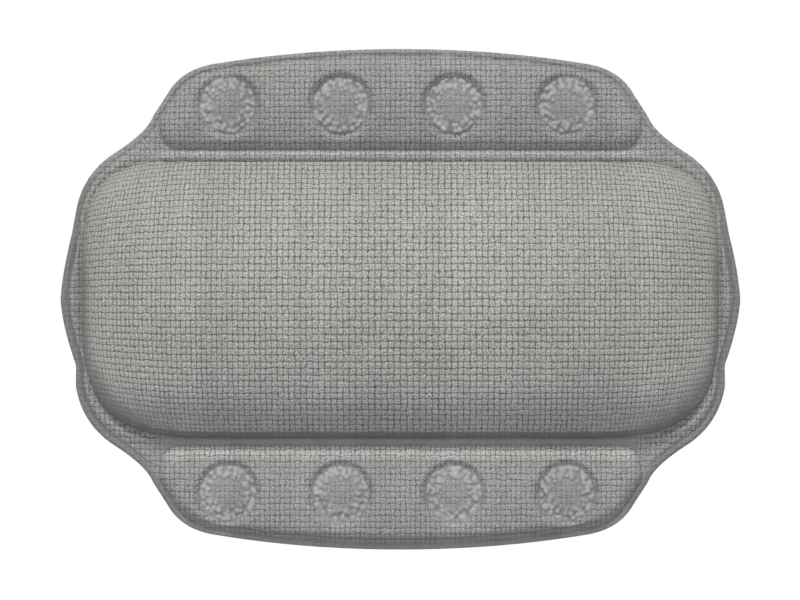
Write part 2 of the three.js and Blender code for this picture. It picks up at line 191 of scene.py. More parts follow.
# The unwelded ridge of the side borders: its way out from the crease, its half width and where it fades.
RIDGE_OUT, RIDGE_HALF, RIDGE_ROOM, LEAST_ROOM = mm(3.9, 2.1, 6, 0.1)
RIDGE_PLACE, RIDGE_SHARE, RIDGE_LESS = 0.55, 0.32, 0.65
RIDGE_ENDS, RIDGE_CLEAR, RIDGE_CORNERS = mm(114, 128), mm(0, 3), mm(20, 48)

# Painted highlight where the cover bends, where the nubs also stand out, and the smooth strip below the
# chamber, dulled as painted shade.
BEND_ENDS, FOLD_RUN = mm(128, 116), (FOLD_LINE + 12 * MM, FOLD_LINE + 4 * MM)
UPPER_PAINTED_HIGHLIGHT, LOWER_PAINTED_HIGHLIGHT, CREASE_PAINTED_HIGHLIGHT = 0.62, 0.6, 0.8
CREST_WIDTH, CREASE_WIDTH = mm(1.2, 1)
BAND_SIDE, FACE_START, FACE_END = mm(0, -0.8), mm(-0.2, 0.6), mm(8, 4)
SMOOTH_PAINTED_SHADE_STRIP, SMOOTH_BELOW, SMOOTH_EDGE, SMOOTH_ENDS = 0.3, mm(-46, -66), mm(0.3, -0.4), mm(124, 108)

# Beads of a weld mark's fused ring in millimetres: radius of a row, how many, half width and half length.
BEAD_RINGS = ((12.4, 28, 1.4, 1.5), (9.9, 22, 1.4, 1.5), (7.8, 16, 1.2, 1.3))
BEAD_RISE, BEAD_STRAY = mm(1.4, 0.5)
BEAD_TURN, BEAD_SKEW, BEAD_SIZES, BEAD_HEIGHTS = 0.4, 0.4, (0.75, 1.3), (0.5, 1)

# Weld marks: the pad under the disc, the sag round them, runs that start off a radius, and wavy edges.
PAD_RADIUS, PAD_RISE, MARK_SAG, MARK_REACH = mm(11.5, 2.3, 3.5, 7)
MARK_WALL, MARK_RING, SAG_RUN = mm(0.5, -0.9), mm(0.9, -0.3), mm(3.5, -0.5)
BEAD_START, RING_START, DISC_EDGE = mm(-2, 2), mm(-1.3, 1.3), mm(1, -1)
DISC_WAVES, RING_WAVES = ((3, 0.8), (5, 0.5)), ((7, 0.35), (13, 0.25))
# The fused ring's tone rises with the beads' height: painted shade between the beads and painted highlight on
# their tops, more at the outer ones.
DISC_PRESS, FUSED_BASE, FUSED_BEADS, FUSED_WELL = 0.48, 0.42, 0.54, 0.4
RING_INNER, RING_OUTER = 0.6, 0.85

# Where the side borders meet the flanges' pieces.
SIDE_CUT = 60 * MM

# Simulation and unevenness of the filled chamber.
PRESSURE = 4
CLOTH_FRAMES = 20
DOME_START, DOME_CAP, DOME_CHANGE, DOME_HELD = 0.96, 5 * MM, mm(-1, 3), mm(0, 6)
FILLING_START, FILLING_CAP, FILLING_CELL = 0.955, 1.5 * MM, 5 * MM
PADDING_REST, PADDING_CELL = 0.76, 1.4 * MM
LUMP, LUMP_FADE, LUMP_WAVES, LUMP_LENGTHS, LUMP_UNIT = 0.3 * MM, mm(0, 18), 14, (24, 60), 3.7
LOW_SWELL, LOW_FLANK, LOW_SWELL_RUN = *mm(4, 12), mm(-15, -50)
END_SWELL, END_FLANK, END_SWELL_RUN = *mm(4.4, 6.5), mm(95, 135)

# Painted shade on the dome's weave: its foot below, its end flanks and its lower corners, and the painted
# highlight along the line above.
DOME_FOOT_PAINTED_SHADE, FOOT_BELOW, FOOT_RUN = 0.95, mm(-25, -60), mm(4.4, 2.4)
DOME_FLANK_PAINTED_SHADE, FLANK_ENDS, FLANK_RUN = 0.7, mm(100, 138), mm(9, 1)
FLANK_LESS, FLANK_UPPER = 0.65, mm(10, 40)
DOME_CORNER_PAINTED_SHADE, CORNER_ENDS, CORNER_BELOW, CORNER_RUN = 0.72, mm(80, 132), mm(-5, -45), mm(17, 2)
DOME_PAINTED_HIGHLIGHT, LIFT_UPPER = 0.45, mm(30, 50)
DOME_EASE, DOME_FREE = mm(0, 4), 0.3

# Back sheets and cups.
SHOULDER, PUCKER, IMPRINT = mm(17, 0.5, 0.25)
PUCKER_WAVES, PUCKER_DEPTHS, PUCKER_COUNTS = 8, (0.4, 1), (26, 95)
PUCKER_LEAST, FLOOR_PUCKER = 0.2, 0.25
BACK_STEP, FLANGE_BACK_STEP = mm(1.1, 1.2)
SHOULDER_RINGS, FLOOR_RINGS = 12, (0.85, 0.6, 0.35, 0.12)
MARK_PRINT, HEAD_PRINT = mm(0.9, 0.8)
NECK_HOLE, LIP_WIDTH, LIP_EDGE, HOLLOW, CUP_WALL, NECK, HEAD = mm(4.3, 2.6, 0.8, 7, 2, 4, 6.2)
HEAD_SOFT, NECK_FLARE, NECK_SHORT, NECK_SUNK = mm(0.35, 0.5, 0.3, 0.1)
LIP_TURNS, BELL_TURNS = (-1.5, 1.4), (1.45, 0.42)
BELL_SHARE, BELL_FLARE, BELL_ROUND = 0.985, 6, 0.9
CUP_STEPS = 64


def length(name, description, size):
    """A size in millimetres that a user may change."""
    return bpy.props.FloatProperty(name=name, description=description, default=size * MM, unit="LENGTH")


def tint(name, description, *value):
    """A colour in linear light that a user may change."""
    return bpy.props.FloatVectorProperty(name=name, description=description, default=value, subtype="COLOR")


class PillowSizes(bpy.types.PropertyGroup):
    """Sizes of the covers' surface that a user may change."""

    column_pitch: length("Column pitch", "Width of a weave cell on the flat", 2.43)
    row_pitch: length("Row pitch", "Height of a weave cell on the flat", 2.91)
    nub_height: length("Nub height", "How far the foamed nubs stand up", 0.26)
    rim_swell: length("Rim swell", "Swell of the welded rim", 0.4)
    ridge: length("Side ridge", "Height of the unwelded ridge at the sides", 1.9)
    groove: length("Weld groove", "Depth of the pressed weld lines", 0.8)
    crown: length("Flange crown", "Padded face above the weld", 2.9)
    crown_run: length("Crown edge", "Width of the padded face's rounded edge", 5.5)
    crown_bow: length("Crown bow", "Further rise to the middle of a flange", 4.0)
    crown_lean: length("Crown lean", "Further height at a flange's outer edge", 3.4)
    mark_radius: length("Mark radius", "Outer edge of a weld mark", 13.5)
    mark_depth: length("Mark depth", "Pressed ring below the padded face", 3.3)
    head_radius: length("Head radius", "Disc over a cup's head", 6.4)


class PillowColours(bpy.types.PropertyGroup):
    """Colours of the finishes and the light, in linear light."""

    dome: tint("Chamber mesh", "Nubs of the stretched mesh", 0.4, 0.395, 0.375)
    flat: tint("Flange mesh", "Nubs of the unstretched mesh", 0.326, 0.329, 0.318)
    gap: tint("Mesh gaps", "Holes between the nubs", 0.085, 0.088, 0.085)
    back: tint("Back sheet", "Thin sheet behind", 0.44, 0.445, 0.435)
    cup: tint("Suction cups", "Clear soft cups", 0.9, 0.95, 0.955)
    fibre: tint("Filling", "Fibre wadding", 0.82, 0.81, 0.77)
    foam: tint("Flange foam", "Foam layer", 0.72, 0.7, 0.63)
    key: tint("Key light", "Tint of the key light", 1.0, 0.93, 0.9)
    ambient: tint("Ambient light", "Tint of the room", 0.935, 0.975, 1.0)


def sizes():
    return bpy.context.scene.bath_pillow_sizes


def colours():
    return bpy.context.scene.bath_pillow_colours


# Curves and distances in plan


def smoothstep(low, high, value):
    share = np.clip((value - low) / (high - low), 0, 1)
    return share * share * (3 - 2 * share)


def step_round(radius, run, distance):
    """Eased step over a run that starts and ends off a radius."""
    return smoothstep(radius + run[0], radius + run[1], distance)


def ridge_at(distance, width):
    """A soft bell round zero distance."""
    return np.exp(-((distance / width) ** 2))


def quadratic(start, control, end, steps=60):
    t = np.linspace(0, 1, steps + 1)[:, None]
    start, control, end = (np.array(point) for point in (start, control, end))
    return (1 - t) ** 2 * start + 2 * t * (1 - t) * control + t * t * end


def mirrored(line, x=1, y=1):
    return line * np.array([x, y])


def joined(*lines):
    """Polylines that follow each other, with the repeated ends left out."""
    return np.concatenate([lines[0]] + [line[1:] for line in lines[1:]])


def closed(right):
    """A right half in plan, followed by its mirror image and its first point again."""
    return np.concatenate([right, mirrored(right, x=-1)[::-1], right[:1]])


def resampled(line, step=POLYLINE_STEP):
    lengths = np.concatenate([[0], np.cumsum(np.hypot(*np.diff(line, axis=0).T))])
    even = np.linspace(0, lengths[-1], max(2, round(lengths[-1] / step)))
    return np.column_stack([np.interp(even, lengths, line[:, axis]) for axis in (0, 1)])


def flange_side():
    """Right half of the upper flange's edge, from the fold line's end to the middle of its outer edge."""
    top = FOLD_LINE + FLANGE_DEPTH
    foot = (BAND_END - FOOT_INSET, FOLD_LINE + FOOT_RISE)
    side = (BAND_END - SIDE_INSET, top - SIDE_DROP)
    edge = (BAND_END - EDGE_INSET, top - EDGE_DROP)
    return joined(
        quadratic((BAND_END, FOLD_LINE), (BAND_END - NECK_INSET, FOLD_LINE + NECK_RISE), foot),
        np.array([foot, side]),
        quadratic(side, (BAND_END - CORNER_INSET, top - CORNER_DROP), edge),
        quadratic(edge, (BAND_END - EDGE_BOW_INSET, top), (0, top)),
    )


def border_side():
    """Right side of the chamber's border, from the lower fold line's end to the upper one's."""
    lobe = SIDE_REACH - LOBE_INSET
    shoulder = SIDE_REACH - SHOULDER_INSET
    bump = SIDE_REACH - BUMP_INSET
    low_notch = (SIDE_REACH - LOWER_NOTCH_INSET, -NOTCH_HEIGHT)
    high_notch = (SIDE_REACH - UPPER_NOTCH_INSET, NOTCH_HEIGHT)
    low_lobe = (lobe, LOBE_DROP - FOLD_LINE)
    high_lobe = (lobe, FOLD_LINE - LOBE_DROP)
    return joined(
        quadratic((BAND_END, -FOLD_LINE), (shoulder, SHOULDER_DROP - FOLD_LINE), low_lobe),
        np.array([low_lobe, low_notch]),
        quadratic(low_notch, (bump, -BUMP_HEIGHT), (SIDE_REACH, 0)),
        quadratic((SIDE_REACH, 0), (bump, BUMP_HEIGHT), high_notch),
        np.array([high_notch, high_lobe]),
        quadratic(high_lobe, (shoulder, FOLD_LINE - SHOULDER_DROP), (BAND_END, FOLD_LINE)),
    )


def softened(line, run):
    """A polyline at even steps with its corners rounded over a run."""
    even = resampled(line)
    steps = max(1, round(run / POLYLINE_STEP))
    window = np.hanning(2 * steps + 3)[1:-1]
    window /= window.sum()
    before = 2 * even[0] - even[steps:0:-1]
    after = 2 * even[-1] - even[-2 : -steps - 2 : -1]
    longer = np.concatenate([before, even, after])
    return np.column_stack([np.convolve(longer[:, axis], window, "valid") for axis in (0, 1)])


def whole_outline():
    upper = flange_side()
    right = joined(mirrored(upper, y=-1)[::-1], border_side(), upper)
    return softened(right, CORNER_SOFT)


def half_width(y):
    return np.interp(y, RIGHT_EDGE[:, 1], RIGHT_EDGE[:, 0])


def squareness(y):
    """Power of the superellipse at the chamber's ends: its lower corners are rounder than its upper ones."""
    return np.where(y < 0, LOWER_SQUARENESS, UPPER_SQUARENESS)


def crease_line():
    turn = np.linspace(0, math.pi / 2, 400)
    quarters = []
    for power in (LOWER_SQUARENESS, UPPER_SQUARENESS):
        across = SPINE_END + CREASE * np.cos(turn) ** (2 / power)
        quarters.append(np.column_stack([across, CREASE * np.sin(turn) ** (2 / power)]))
    lower, upper = quarters
    return resampled(closed(joined(mirrored(lower, y=-1)[::-1], upper)))


def crown_line():
    """Edge of the upper flange's padded face, counterclockwise from its lower right corner."""
    side = resampled(flange_side())
    along = np.gradient(side, axis=0)
    along /= np.hypot(*along.T)[:, None]
    inner = side + RIM * np.column_stack([-along[:, 1], along[:, 0]])
    raised = inner[side[:, 1] >= FOLD_LINE + FOOT_RISE]
    foot = raised[0]
    low = FOLD_LINE + BAND / 2
    corner = quadratic((foot[0] - CROWN_CORNER, low), (foot[0] + CROWN_FLARE, low), foot)
    return resampled(closed(joined(corner, raised)))


class Nearest:
    """Distances to a finely sampled line in plan."""

    def __init__(self, line):
        self.line = line
        self.tree = kdtree.KDTree(len(line))
        for index, point in enumerate(line):
            self.tree.insert((point[0], point[1], 0), index)
        self.tree.balance()

    def find(self, x, y):
        found = [self.tree.find((px, py, 0)) for px, py in zip(x, y)]
        index = np.array([hit[1] for hit in found])
        return np.array([hit[2] for hit in found]), self.line[index]


RIGHT_EDGE = whole_outline()
EDGE_NEAREST = Nearest(resampled(closed(RIGHT_EDGE)))
CREASE_NEAREST = Nearest(crease_line())
CROWN_EDGE = crown_line()
CROWN_NEAREST = Nearest(CROWN_EDGE)


def reach(x, y):
    """Distance from the chamber's spine, on curves that are round near it and square at the crease."""
    across = np.maximum(np.abs(x) - SPINE_END, 0)
    along = np.abs(y)
    found = np.hypot(across, along)
    for _ in range(12):
        power = ROUND + (squareness(y) - ROUND) * np.minimum(found / CREASE, 1)
        found = (across**power + along**power) ** (1 / power)
    return found


def at_reach(x, y, out):
    """Points moved along their lines from the spine until they lie at a reach."""
    power = ROUND + (squareness(y) - ROUND) * min(out / CREASE, 1)
    spine = np.clip(x, -SPINE_END, SPINE_END)
    across = x - spine
    grown = out / (np.abs(across) ** power + np.abs(y) ** power) ** (1 / power)
    return spine + across * grown, y * grown


def inside_crown(x, y):
    """True where a point of the upper flange lies on its padded face."""
    right = CROWN_EDGE[: len(CROWN_EDGE) // 2]
    right = right[right[:, 0] >= 0]
    order = np.argsort(right[:, 1])
    wide = np.interp(y, right[order, 1], right[order, 0], left=-1, right=-1)
    return np.abs(x) <= wide


def outline_normal(points):
    """Outward direction at points of the outline, which runs up its right side."""
    line = EDGE_NEAREST.line
    along = np.roll(line[:-1], -3, axis=0) - np.roll(line[:-1], 3, axis=0)
    along /= np.hypot(*along.T)[:, None]
    index = [min(EDGE_NEAREST.tree.find((px, py, 0))[1], len(along) - 1) for px, py in points]
    return np.column_stack([along[index, 1], -along[index, 0]])


class Weave:
    """Seeded irregularity of the lattice of nubs: how far its crossings wander and how full each nub is."""

    def __init__(self, seed):
        random = np.random.default_rng(seed)
        self.wander = random.normal(0, 1, (*LATTICE, 2))
        self.fullness = random.uniform(*FULLNESS, LATTICE)

    def shift(self, u, v):
        i, j, s, t = self.cell(u, v)
        s, t = s[:, None], t[:, None]
        low = self.wander[i, j] * (1 - s) + self.wander[i + 1, j] * s
        high = self.wander[i, j + 1] * (1 - s) + self.wander[i + 1, j + 1] * s
        return low * (1 - t) + high * t

    def nub(self, u, v):
        i, j, s, t = self.cell(u, v)
        across, along = np.abs(2 * s - 1), np.abs(2 * t - 1)
        return self.fullness[i, j] * (1 - across**3) * (1 - along**3)

    @staticmethod
    def cell(u, v):
        u, v = u + LATTICE[0] / 2 + 1e-6, v + LATTICE[1] / 2 + 1e-6
        i, j = np.floor(u).astype(int), np.floor(v).astype(int)
        return i, j, u - i, v - j


# Meshes


def grid(columns, rows):
    """A flat grid, and the column and row of each of its points."""
    bm = bmesh.new()
    bmesh.ops.create_grid(bm, x_segments=columns, y_segments=rows, size=1)
    across, along = plan_of(bm)
    return bm, np.round((across + 1) / 2 * columns), np.round((along + 1) / 2 * rows)


def plan_of(bm):
    return np.array([vert.co[:2] for vert in bm.verts]).T


def place(bm, x, y, z):
    for vert, point in zip(bm.verts, np.column_stack([x, y, z]).tolist()):
        vert.co = point


def open_edge(bm):
    """Points on the open edge of a sheet, and where they lie in plan."""
    edge = [vert for vert in bm.verts if vert.is_boundary]
    return edge, np.array([vert.co[:2] for vert in edge])


def only(items, kind):
    return [item for item in items if isinstance(item, kind)]


def extruded(bm, edges):
    """The next ring out from an open edge: its edges and its points."""
    made = bmesh.ops.extrude_edge_only(bm, edges=edges)["geom"]
    return only(made, bmesh.types.BMEdge), only(made, bmesh.types.BMVert)


def set_layer(bm, name, values):
    kind = bm.verts.layers.float_vector if values.ndim == 2 else bm.verts.layers.float
    layer = kind.new(name)
    for vert, value in zip(bm.verts, values.tolist()):
        vert[layer] = value


def trim(bm, outside):
    """Deletes the faces of a flat grid whose corners lie outside on the whole, and what is left loose."""
    bm.verts.index_update()
    corners = np.array([[vert.index for vert in face.verts] for face in bm.faces])
    gone = outside[corners].mean(axis=1) > 0
    faces = [face for face, drop in zip(bm.faces[:], gone) if drop]
    bmesh.ops.delete(bm, geom=faces, context="FACES")
    loose = [vert for vert in bm.verts if not vert.link_faces]
    bmesh.ops.delete(bm, geom=loose, context="VERTS")
    bm.verts.index_update()
    bm.verts.ensure_lookup_table()


def finished(bm, name, material, smooth=True):
    bmesh.ops.recalc_face_normals(bm, faces=bm.faces[:])
    for face in bm.faces:
        face.smooth = smooth
    mesh = bpy.data.meshes.new(name)
    bm.to_mesh(mesh)
    bm.free()
    piece = bpy.data.objects.new(name, mesh)
    bpy.context.scene.collection.objects.link(piece)
    mesh.materials.append(material)
    return piece


def points_of(piece):
    return np.array([vert.co for vert in piece.data.vertices])


def move(piece, points):
    for vert, point in zip(piece.data.vertices, points):
        vert.co = point


# Flat covers: side borders, weld bands and flanges


def cup_box(side, index):
    """Lowest point on a cup's axis, and its lowest and highest corners."""
    low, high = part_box(f"suction_cup_{side}_{index}")
    return ((low.x + high.x) / 2, (low.y + high.y) / 2, low.z), low, high


def mark_places(side):
    return [cup_box(side, index)[0][:2] for index in range(1, CUPS_PER_ROW + 1)]


def crown_height(x, y):
    """Height of a flange's padded face above the weld, and the distance in from its edge."""
    nearer = smoothstep(FOLD_LINE + LOW_START_RUN, FOLD_LINE, np.abs(y)) * (y < 0)
    along = np.abs(y) + LOW_START * nearer
    distance, _ = CROWN_NEAREST.find(x, along)
    inward = np.where(inside_crown(x, along), distance, -distance)
    share = np.clip(inward / sizes().crown_run, 0, 1)
    round_edge = np.sqrt(1 - (1 - share) ** 2)
    soft_edge = np.sin(share * math.pi / 2)
    bow = sizes().crown_bow * np.sin(math.pi / 2 * np.clip(inward / CROWN_MIDDLE, 0, 1))
    lean = sizes().crown_lean * np.clip((np.abs(y) - FOLD_LINE) / FLANGE_DEPTH, 0, 1)
    edge = CROWN_ROUND * round_edge + (1 - CROWN_ROUND) * soft_edge
    return (sizes().crown + lean) * edge + bow, inward


def beads(x, y, centre, seed):
    """Puffed beads of the fused ring of a weld mark, from none to one, packed unevenly round it."""
    random = np.random.default_rng(seed)
    height = np.zeros_like(x)
    for radius, count, width, depth in BEAD_RINGS:
        turns = (np.arange(count) + random.uniform(-BEAD_TURN, BEAD_TURN, count)) * 2 * math.pi / count
        for turn in turns:
            out = radius * MM + random.normal(0, BEAD_STRAY)
            wide, long = np.array([width * MM, depth * MM]) * random.uniform(*BEAD_SIZES, 2)
            skew = turn + random.normal(0, BEAD_SKEW)
            dx = x - centre[0] - out * math.cos(turn)
            dy = y - centre[1] - out * math.sin(turn)
            radial = dx * math.cos(skew) + dy * math.sin(skew)
            tangent = dy * math.cos(skew) - dx * math.sin(skew)
            away = (radial / long) ** 2 + (tangent / wide) ** 2
            height = np.maximum(height, random.uniform(*BEAD_HEIGHTS) * np.sqrt(np.clip(1 - away, 0, 1)))
    return height


def crease_depth(x, y):
    """The weld line round the chamber, deepest along the lower band."""
    below = smoothstep(*CREASE_BELOW, y) * smoothstep(*CREASE_ENDS, np.abs(x))
    return sizes().groove * (CREASE_SHALLOW + CREASE_DEEPER * below)


def painted_crease_shade(y):
    """Painted shade in the weld line round the chamber, darkest below; it also presses the weave flat there.
    """
    return CREASE_PAINTED_SHADE * smoothstep(*PAINTED_SHADE_BELOW, y)


def rim_weld(y, bottom):
    """Strength of the weld line inside the rim: deep round the lower sides, faint along the flanges."""
    faint = np.where(y > 0, RIM_FAINT, RIM_FAINT_LOW)
    sides = smoothstep(*RIM_UPPER, y) * smoothstep(*RIM_LOWER, y)
    return np.max([faint, RIM_BOTTOM * bottom, sides], axis=0)


def side_ridge(x, y, inward, edge_distance, crease_distance):
    """The unwelded ridge that follows the crease round the chamber's ends, less high at the upper corners."""
    room = np.maximum(crease_distance + edge_distance - RIM, LEAST_ROOM)
    middle = np.minimum(RIDGE_OUT, RIDGE_PLACE * room)
    half = np.minimum(RIDGE_HALF, RIDGE_SHARE * room)
    strength = smoothstep(*RIDGE_ENDS, np.abs(x)) * smoothstep(*RIDGE_CLEAR, -inward)
    strength *= (1 - RIDGE_LESS * smoothstep(*RIDGE_CORNERS, y)) * np.minimum(room / RIDGE_ROOM, 1)
    return sizes().ridge * strength * ridge_at(crease_distance - middle, half)


def near_low_fold(y):
    return smoothstep(*FOLD_RUN, np.abs(y)) * (y < 0)


def painted_bend_highlight(x, y, inward, crease_distance):
    """Painted highlight at the bends, along the upper band and the lower flange's fold, where the nubs also
    stand out further.
    """
    upper = ridge_at(crease_distance - BAND_CREST, CREST_WIDTH)
    upper = upper + CREASE_PAINTED_HIGHLIGHT * ridge_at(crease_distance, CREASE_WIDTH)
    upper = UPPER_PAINTED_HIGHLIGHT * upper * smoothstep(*BAND_SIDE, inward) * (y > 0)
    lower = LOWER_PAINTED_HIGHLIGHT * smoothstep(*FACE_START, inward) * smoothstep(*FACE_END, inward)
    lower = lower * near_low_fold(y)
    return smoothstep(*BEND_ENDS, np.abs(x)) * np.clip(upper + lower, 0, 1)


def wavy(radius, angle, phase, waves):
    """A radius that wavers in two waves, given by their counts and their depths in millimetres."""
    (first, deep), (second, shallow) = waves
    wave = deep * MM * np.sin(first * angle + phase)
    return radius + wave + shallow * MM * np.sin(second * angle - phase)


def pressed_marks(x, y, face, centres, seed):
    """The padded face with its weld marks pressed in, how far it is fused, and the discs over the heads."""
    fused = np.zeros_like(x)
    discs = np.zeros_like(x)
    height = face.copy()
    edge, depth, head = sizes().mark_radius, sizes().mark_depth, sizes().head_radius
    for index, centre in enumerate(centres):
        out = np.hypot(x - centre[0], y - centre[1])
        near = out < edge + MARK_REACH
        local = out[near]
        bead = beads(x[near], y[near], centre, seed + index)
        phase = np.random.default_rng(seed + index).uniform(0, 2 * math.pi)
        angle = np.arctan2(y[near] - centre[1], x[near] - centre[0])
        frayed = wavy(head, angle, phase, DISC_WAVES)
        rim = wavy(edge, angle, phase, RING_WAVES)
        pad = PAD_RISE * np.clip(1 - (local / PAD_RADIUS) ** 2, 0, 1)
        floor = face[near].mean() - depth
        inside = floor + pad + BEAD_RISE * bead * step_round(frayed, BEAD_START, local)
        wall = step_round(rim, MARK_WALL, local)
        sag = MARK_SAG * step_round(edge, SAG_RUN, local)
        height[near] = (face[near] - sag) * (1 - wall) + inside * wall
        ring = step_round(rim, MARK_RING, local) * step_round(frayed, RING_START, local)
        outer = RING_INNER + (1 - RING_INNER) * smoothstep(head, RING_OUTER * edge, local)
        # The fused layer flattens the ring's weave, and its tone follows the beads: painted highlight on
        # their tops, painted shade between them.
        fused[near] = np.maximum(fused[near], ring * (FUSED_BASE + FUSED_BEADS * outer * bead))
        discs[near] = np.maximum(discs[near], DISC_PRESS * step_round(frayed, DISC_EDGE, local))
    return height, fused, discs


def flat_cover(x, y, centres, seed):
    """Height of the covers outside the crease, how far the weave is pressed flat, with painted shade in its
    creases and grooves and painted highlight at the bends, and how far it is fused, with painted shade on the
    strip below the chamber.
    """
    edge_distance, _ = EDGE_NEAREST.find(x, y)
    crease_distance, _ = CREASE_NEAREST.find(x, y)
    crown, inward = crown_height(x, y)
    upper = y > 0
    bottom = smoothstep(*BOTTOM_EDGE, y)
    groove = sizes().groove
    rim_line = rim_weld(y, bottom) * ridge_at(edge_distance - RIM - LOW_RIM * bottom, RIM_LINE)
    crease = ridge_at(crease_distance, np.where(upper, UPPER_CREASE, LOWER_CREASE))
    foot = ridge_at(inward, FOOT_LINE) * (1 - FOLD_LESS * near_low_fold(y))
    height = WELD_TOP + sizes().rim_swell * np.sin(math.pi * np.clip(edge_distance / RIM, 0, 1))
    swell = np.where(upper, UPPER_BAND, LOWER_BAND) * smoothstep(*BAND_ENDS, np.abs(x))
    band = swell * np.sin(math.pi * np.clip(crease_distance / BAND, 0, 1) ** BAND_LEAN)
    ridge = side_ridge(x, y, inward, edge_distance, crease_distance)
    height += np.where(inward > 0, crown, band + ridge)
    height -= groove * rim_line * (1 - BOTTOM_LESS * bottom)
    height -= crease_depth(x, y) * crease + FOOT_DEPTH * groove * foot
    marked, fused, discs = pressed_marks(x, y, height, centres, seed)
    rim = np.where(y > SIDE_CUT, UPPER_RIM_TONE, RIM_TONE - BOTTOM_TONE * bottom)
    rim = rim * smoothstep(RIM, RIM_INNER * RIM, edge_distance)
    # Painted shade in the crease round the chamber.
    weld = np.where(upper, 1, LOW_CREASE_PAINTED_SHADE) * painted_crease_shade(y) * crease
    # Pressed weave on the rim and the discs, with painted shade in the rim's weld line, the crease and the
    # groove at a padded face's foot.
    pressed = np.max([RIM_LINE_PAINTED_SHADE * rim_line, weld, FOOT_PAINTED_SHADE * foot, rim, discs], axis=0)
    # Painted highlight at the bends, taken off the pressed layer so that it turns negative there.
    painted_highlight = painted_bend_highlight(x, y, inward, crease_distance)
    # Painted shade on the strip below the chamber, in the dome's shadow: its weave is smoothed and its tone
    # dulled through the fused layer.
    smooth = smoothstep(*SMOOTH_BELOW, y) * smoothstep(*SMOOTH_EDGE, inward)
    smooth = smooth * smoothstep(*SMOOTH_ENDS, np.abs(x))
    return marked, np.clip(pressed, 0, 1) - painted_highlight, np.maximum(fused, SMOOTH_PAINTED_SHADE_STRIP * smooth)


def flat_piece(name, low, high, half, centres, seed, material):
    """A cover outside the crease, between two heights in plan, with its weave, edge and underside."""
    pitch = np.array([sizes().column_pitch, sizes().row_pitch])
    column, row = pitch / FLAT_SAMPLES
    first, last = round(low / row), round(high / row)
    columns = math.ceil(half / column)
    bm, i, j = grid(2 * columns, last - first)
    x, y = (i - columns) * column, (j + first) * row
    place(bm, x, y, 0 * x)
    beyond = np.maximum(np.abs(x) - half_width(y), CREASE - reach(x, y))
    trim(bm, np.clip(beyond, -column, column))
    snap_to_edges(bm, (low, high), row)
    x, y = plan_of(bm)
    cover, pressed, fused = flat_cover(x, y, centres, seed)
    u, v = x / pitch[0], y / pitch[1]
    weave = Weave(seed)
    inner = np.array([not vert.is_boundary for vert in bm.verts])
    free = (1 - fused) * (1 - PRESSED_NUB * pressed) * inner
    shift = weave.shift(u, v) * WANDER * free[:, None]
    nub = sizes().nub_height * weave.nub(u, v) * free
    set_layer(bm, "weave", np.column_stack([u, v, 0 * u]))
    # The pressed and fused layers carry painted shade and painted highlight as well as the pressed and fused
    # weave.
    set_layer(bm, "pressed", pressed)
    set_layer(bm, "fused", fused)
    top = np.column_stack([np.column_stack([x, y]) + shift * pitch, cover + nub])
    lower = np.where(fused > FUSED_WELL, WELD_UNDER, np.maximum(cover - WELD, WELD_UNDER))
    thicken(bm, top, np.column_stack([x, y, lower]))
    return finished(bm, name, material)


def snap_to_edges(bm, cuts, row):
    """Moves the ragged edge of a trimmed grid onto the crease, the outline or the ends of its cuts."""
    edge, plan = open_edge(bm)
    x, y = plan.T
    on_cut = np.zeros(len(edge), bool)
    for cut in cuts:
        on_cut |= np.abs(y - round(cut / row) * row) < row / 10
    inner = np.column_stack(at_reach(x, y, CREASE))
    _, outer = EDGE_NEAREST.find(x, y)
    to_crease = np.hypot(*(inner - plan).T) < np.hypot(*(outer - plan).T)
    near = np.where(to_crease[:, None], inner, outer)
    for vert, point, cut in zip(edge, near, on_cut):
        if not cut:
            vert.co.x, vert.co.y = point
    end_cuts(edge, x, y, on_cut)


def end_cuts(edge, x, y, on_cut):
    """Moves the ends of each straight cut exactly onto the crease and the outline."""
    for line in np.unique(np.round(y[on_cut], 7)):
        on_line = on_cut & (np.abs(y - line) < 1e-6)
        power = squareness(line)
        ratio = 1 - (np.abs(line) / CREASE) ** power
        inner = SPINE_END + CREASE * max(ratio, 0) ** (1 / power)
        for sign in (-1, 1):
            chosen = np.flatnonzero(on_line & (x * sign > 0))
            if len(chosen) == 0 or abs(line) > CREASE:
                continue
            edge[chosen[np.argmin(np.abs(x[chosen]))]].co.x = sign * inner
            edge[chosen[np.argmax(np.abs(x[chosen]))]].co.x = sign * half_width(line)


def thicken(bm, top, under):
    """Turns a trimmed sheet into a closed body between two sets of points, with a rounded outer edge."""
    boundary = [edge for edge in bm.edges if edge.is_boundary]
    source = bm.verts.layers.int.new("source")
    for index, vert in enumerate(bm.verts):
        vert[source] = index
    sheet = bm.verts[:]
    made = bmesh.ops.extrude_face_region(bm, geom=bm.faces[:] + bm.edges[:], use_keep_orig=True)
    raised = only(made["geom"], bmesh.types.BMVert)
    for verts, points in ((sheet, under), (raised, top)):
        for vert in verts:
            vert.co = points[vert[source]]
    keep_sharp(bm, boundary, {vert[source]: vert for vert in raised}, source)
    low_ends = {vert for edge in boundary for vert in edge.verts}
    lifted = set(raised)
    walls = [edge for vert in low_ends for edge in vert.link_edges if edge.other_vert(vert) in lifted]
    cut = bmesh.ops.subdivide_edges(bm, edges=walls, cuts=3, use_grid_fill=True)
    ring = only(cut["geom_inner"], bmesh.types.BMVert)
    x, y, z = np.array([vert.co for vert in ring]).T
    distance, nearest = EDGE_NEAREST.find(x, y)
    share = np.clip((z - WELD_UNDER) / WELD, 0, 1)
    push = np.where(distance < ON_EDGE, EDGE_ROUND * np.sin(math.pi * share), 0)
    for vert, amount, way in zip(ring, push, outline_normal(nearest)):
        vert.co.x += amount * way[0]
        vert.co.y += amount * way[1]
    bm.verts.layers.int.remove(source)


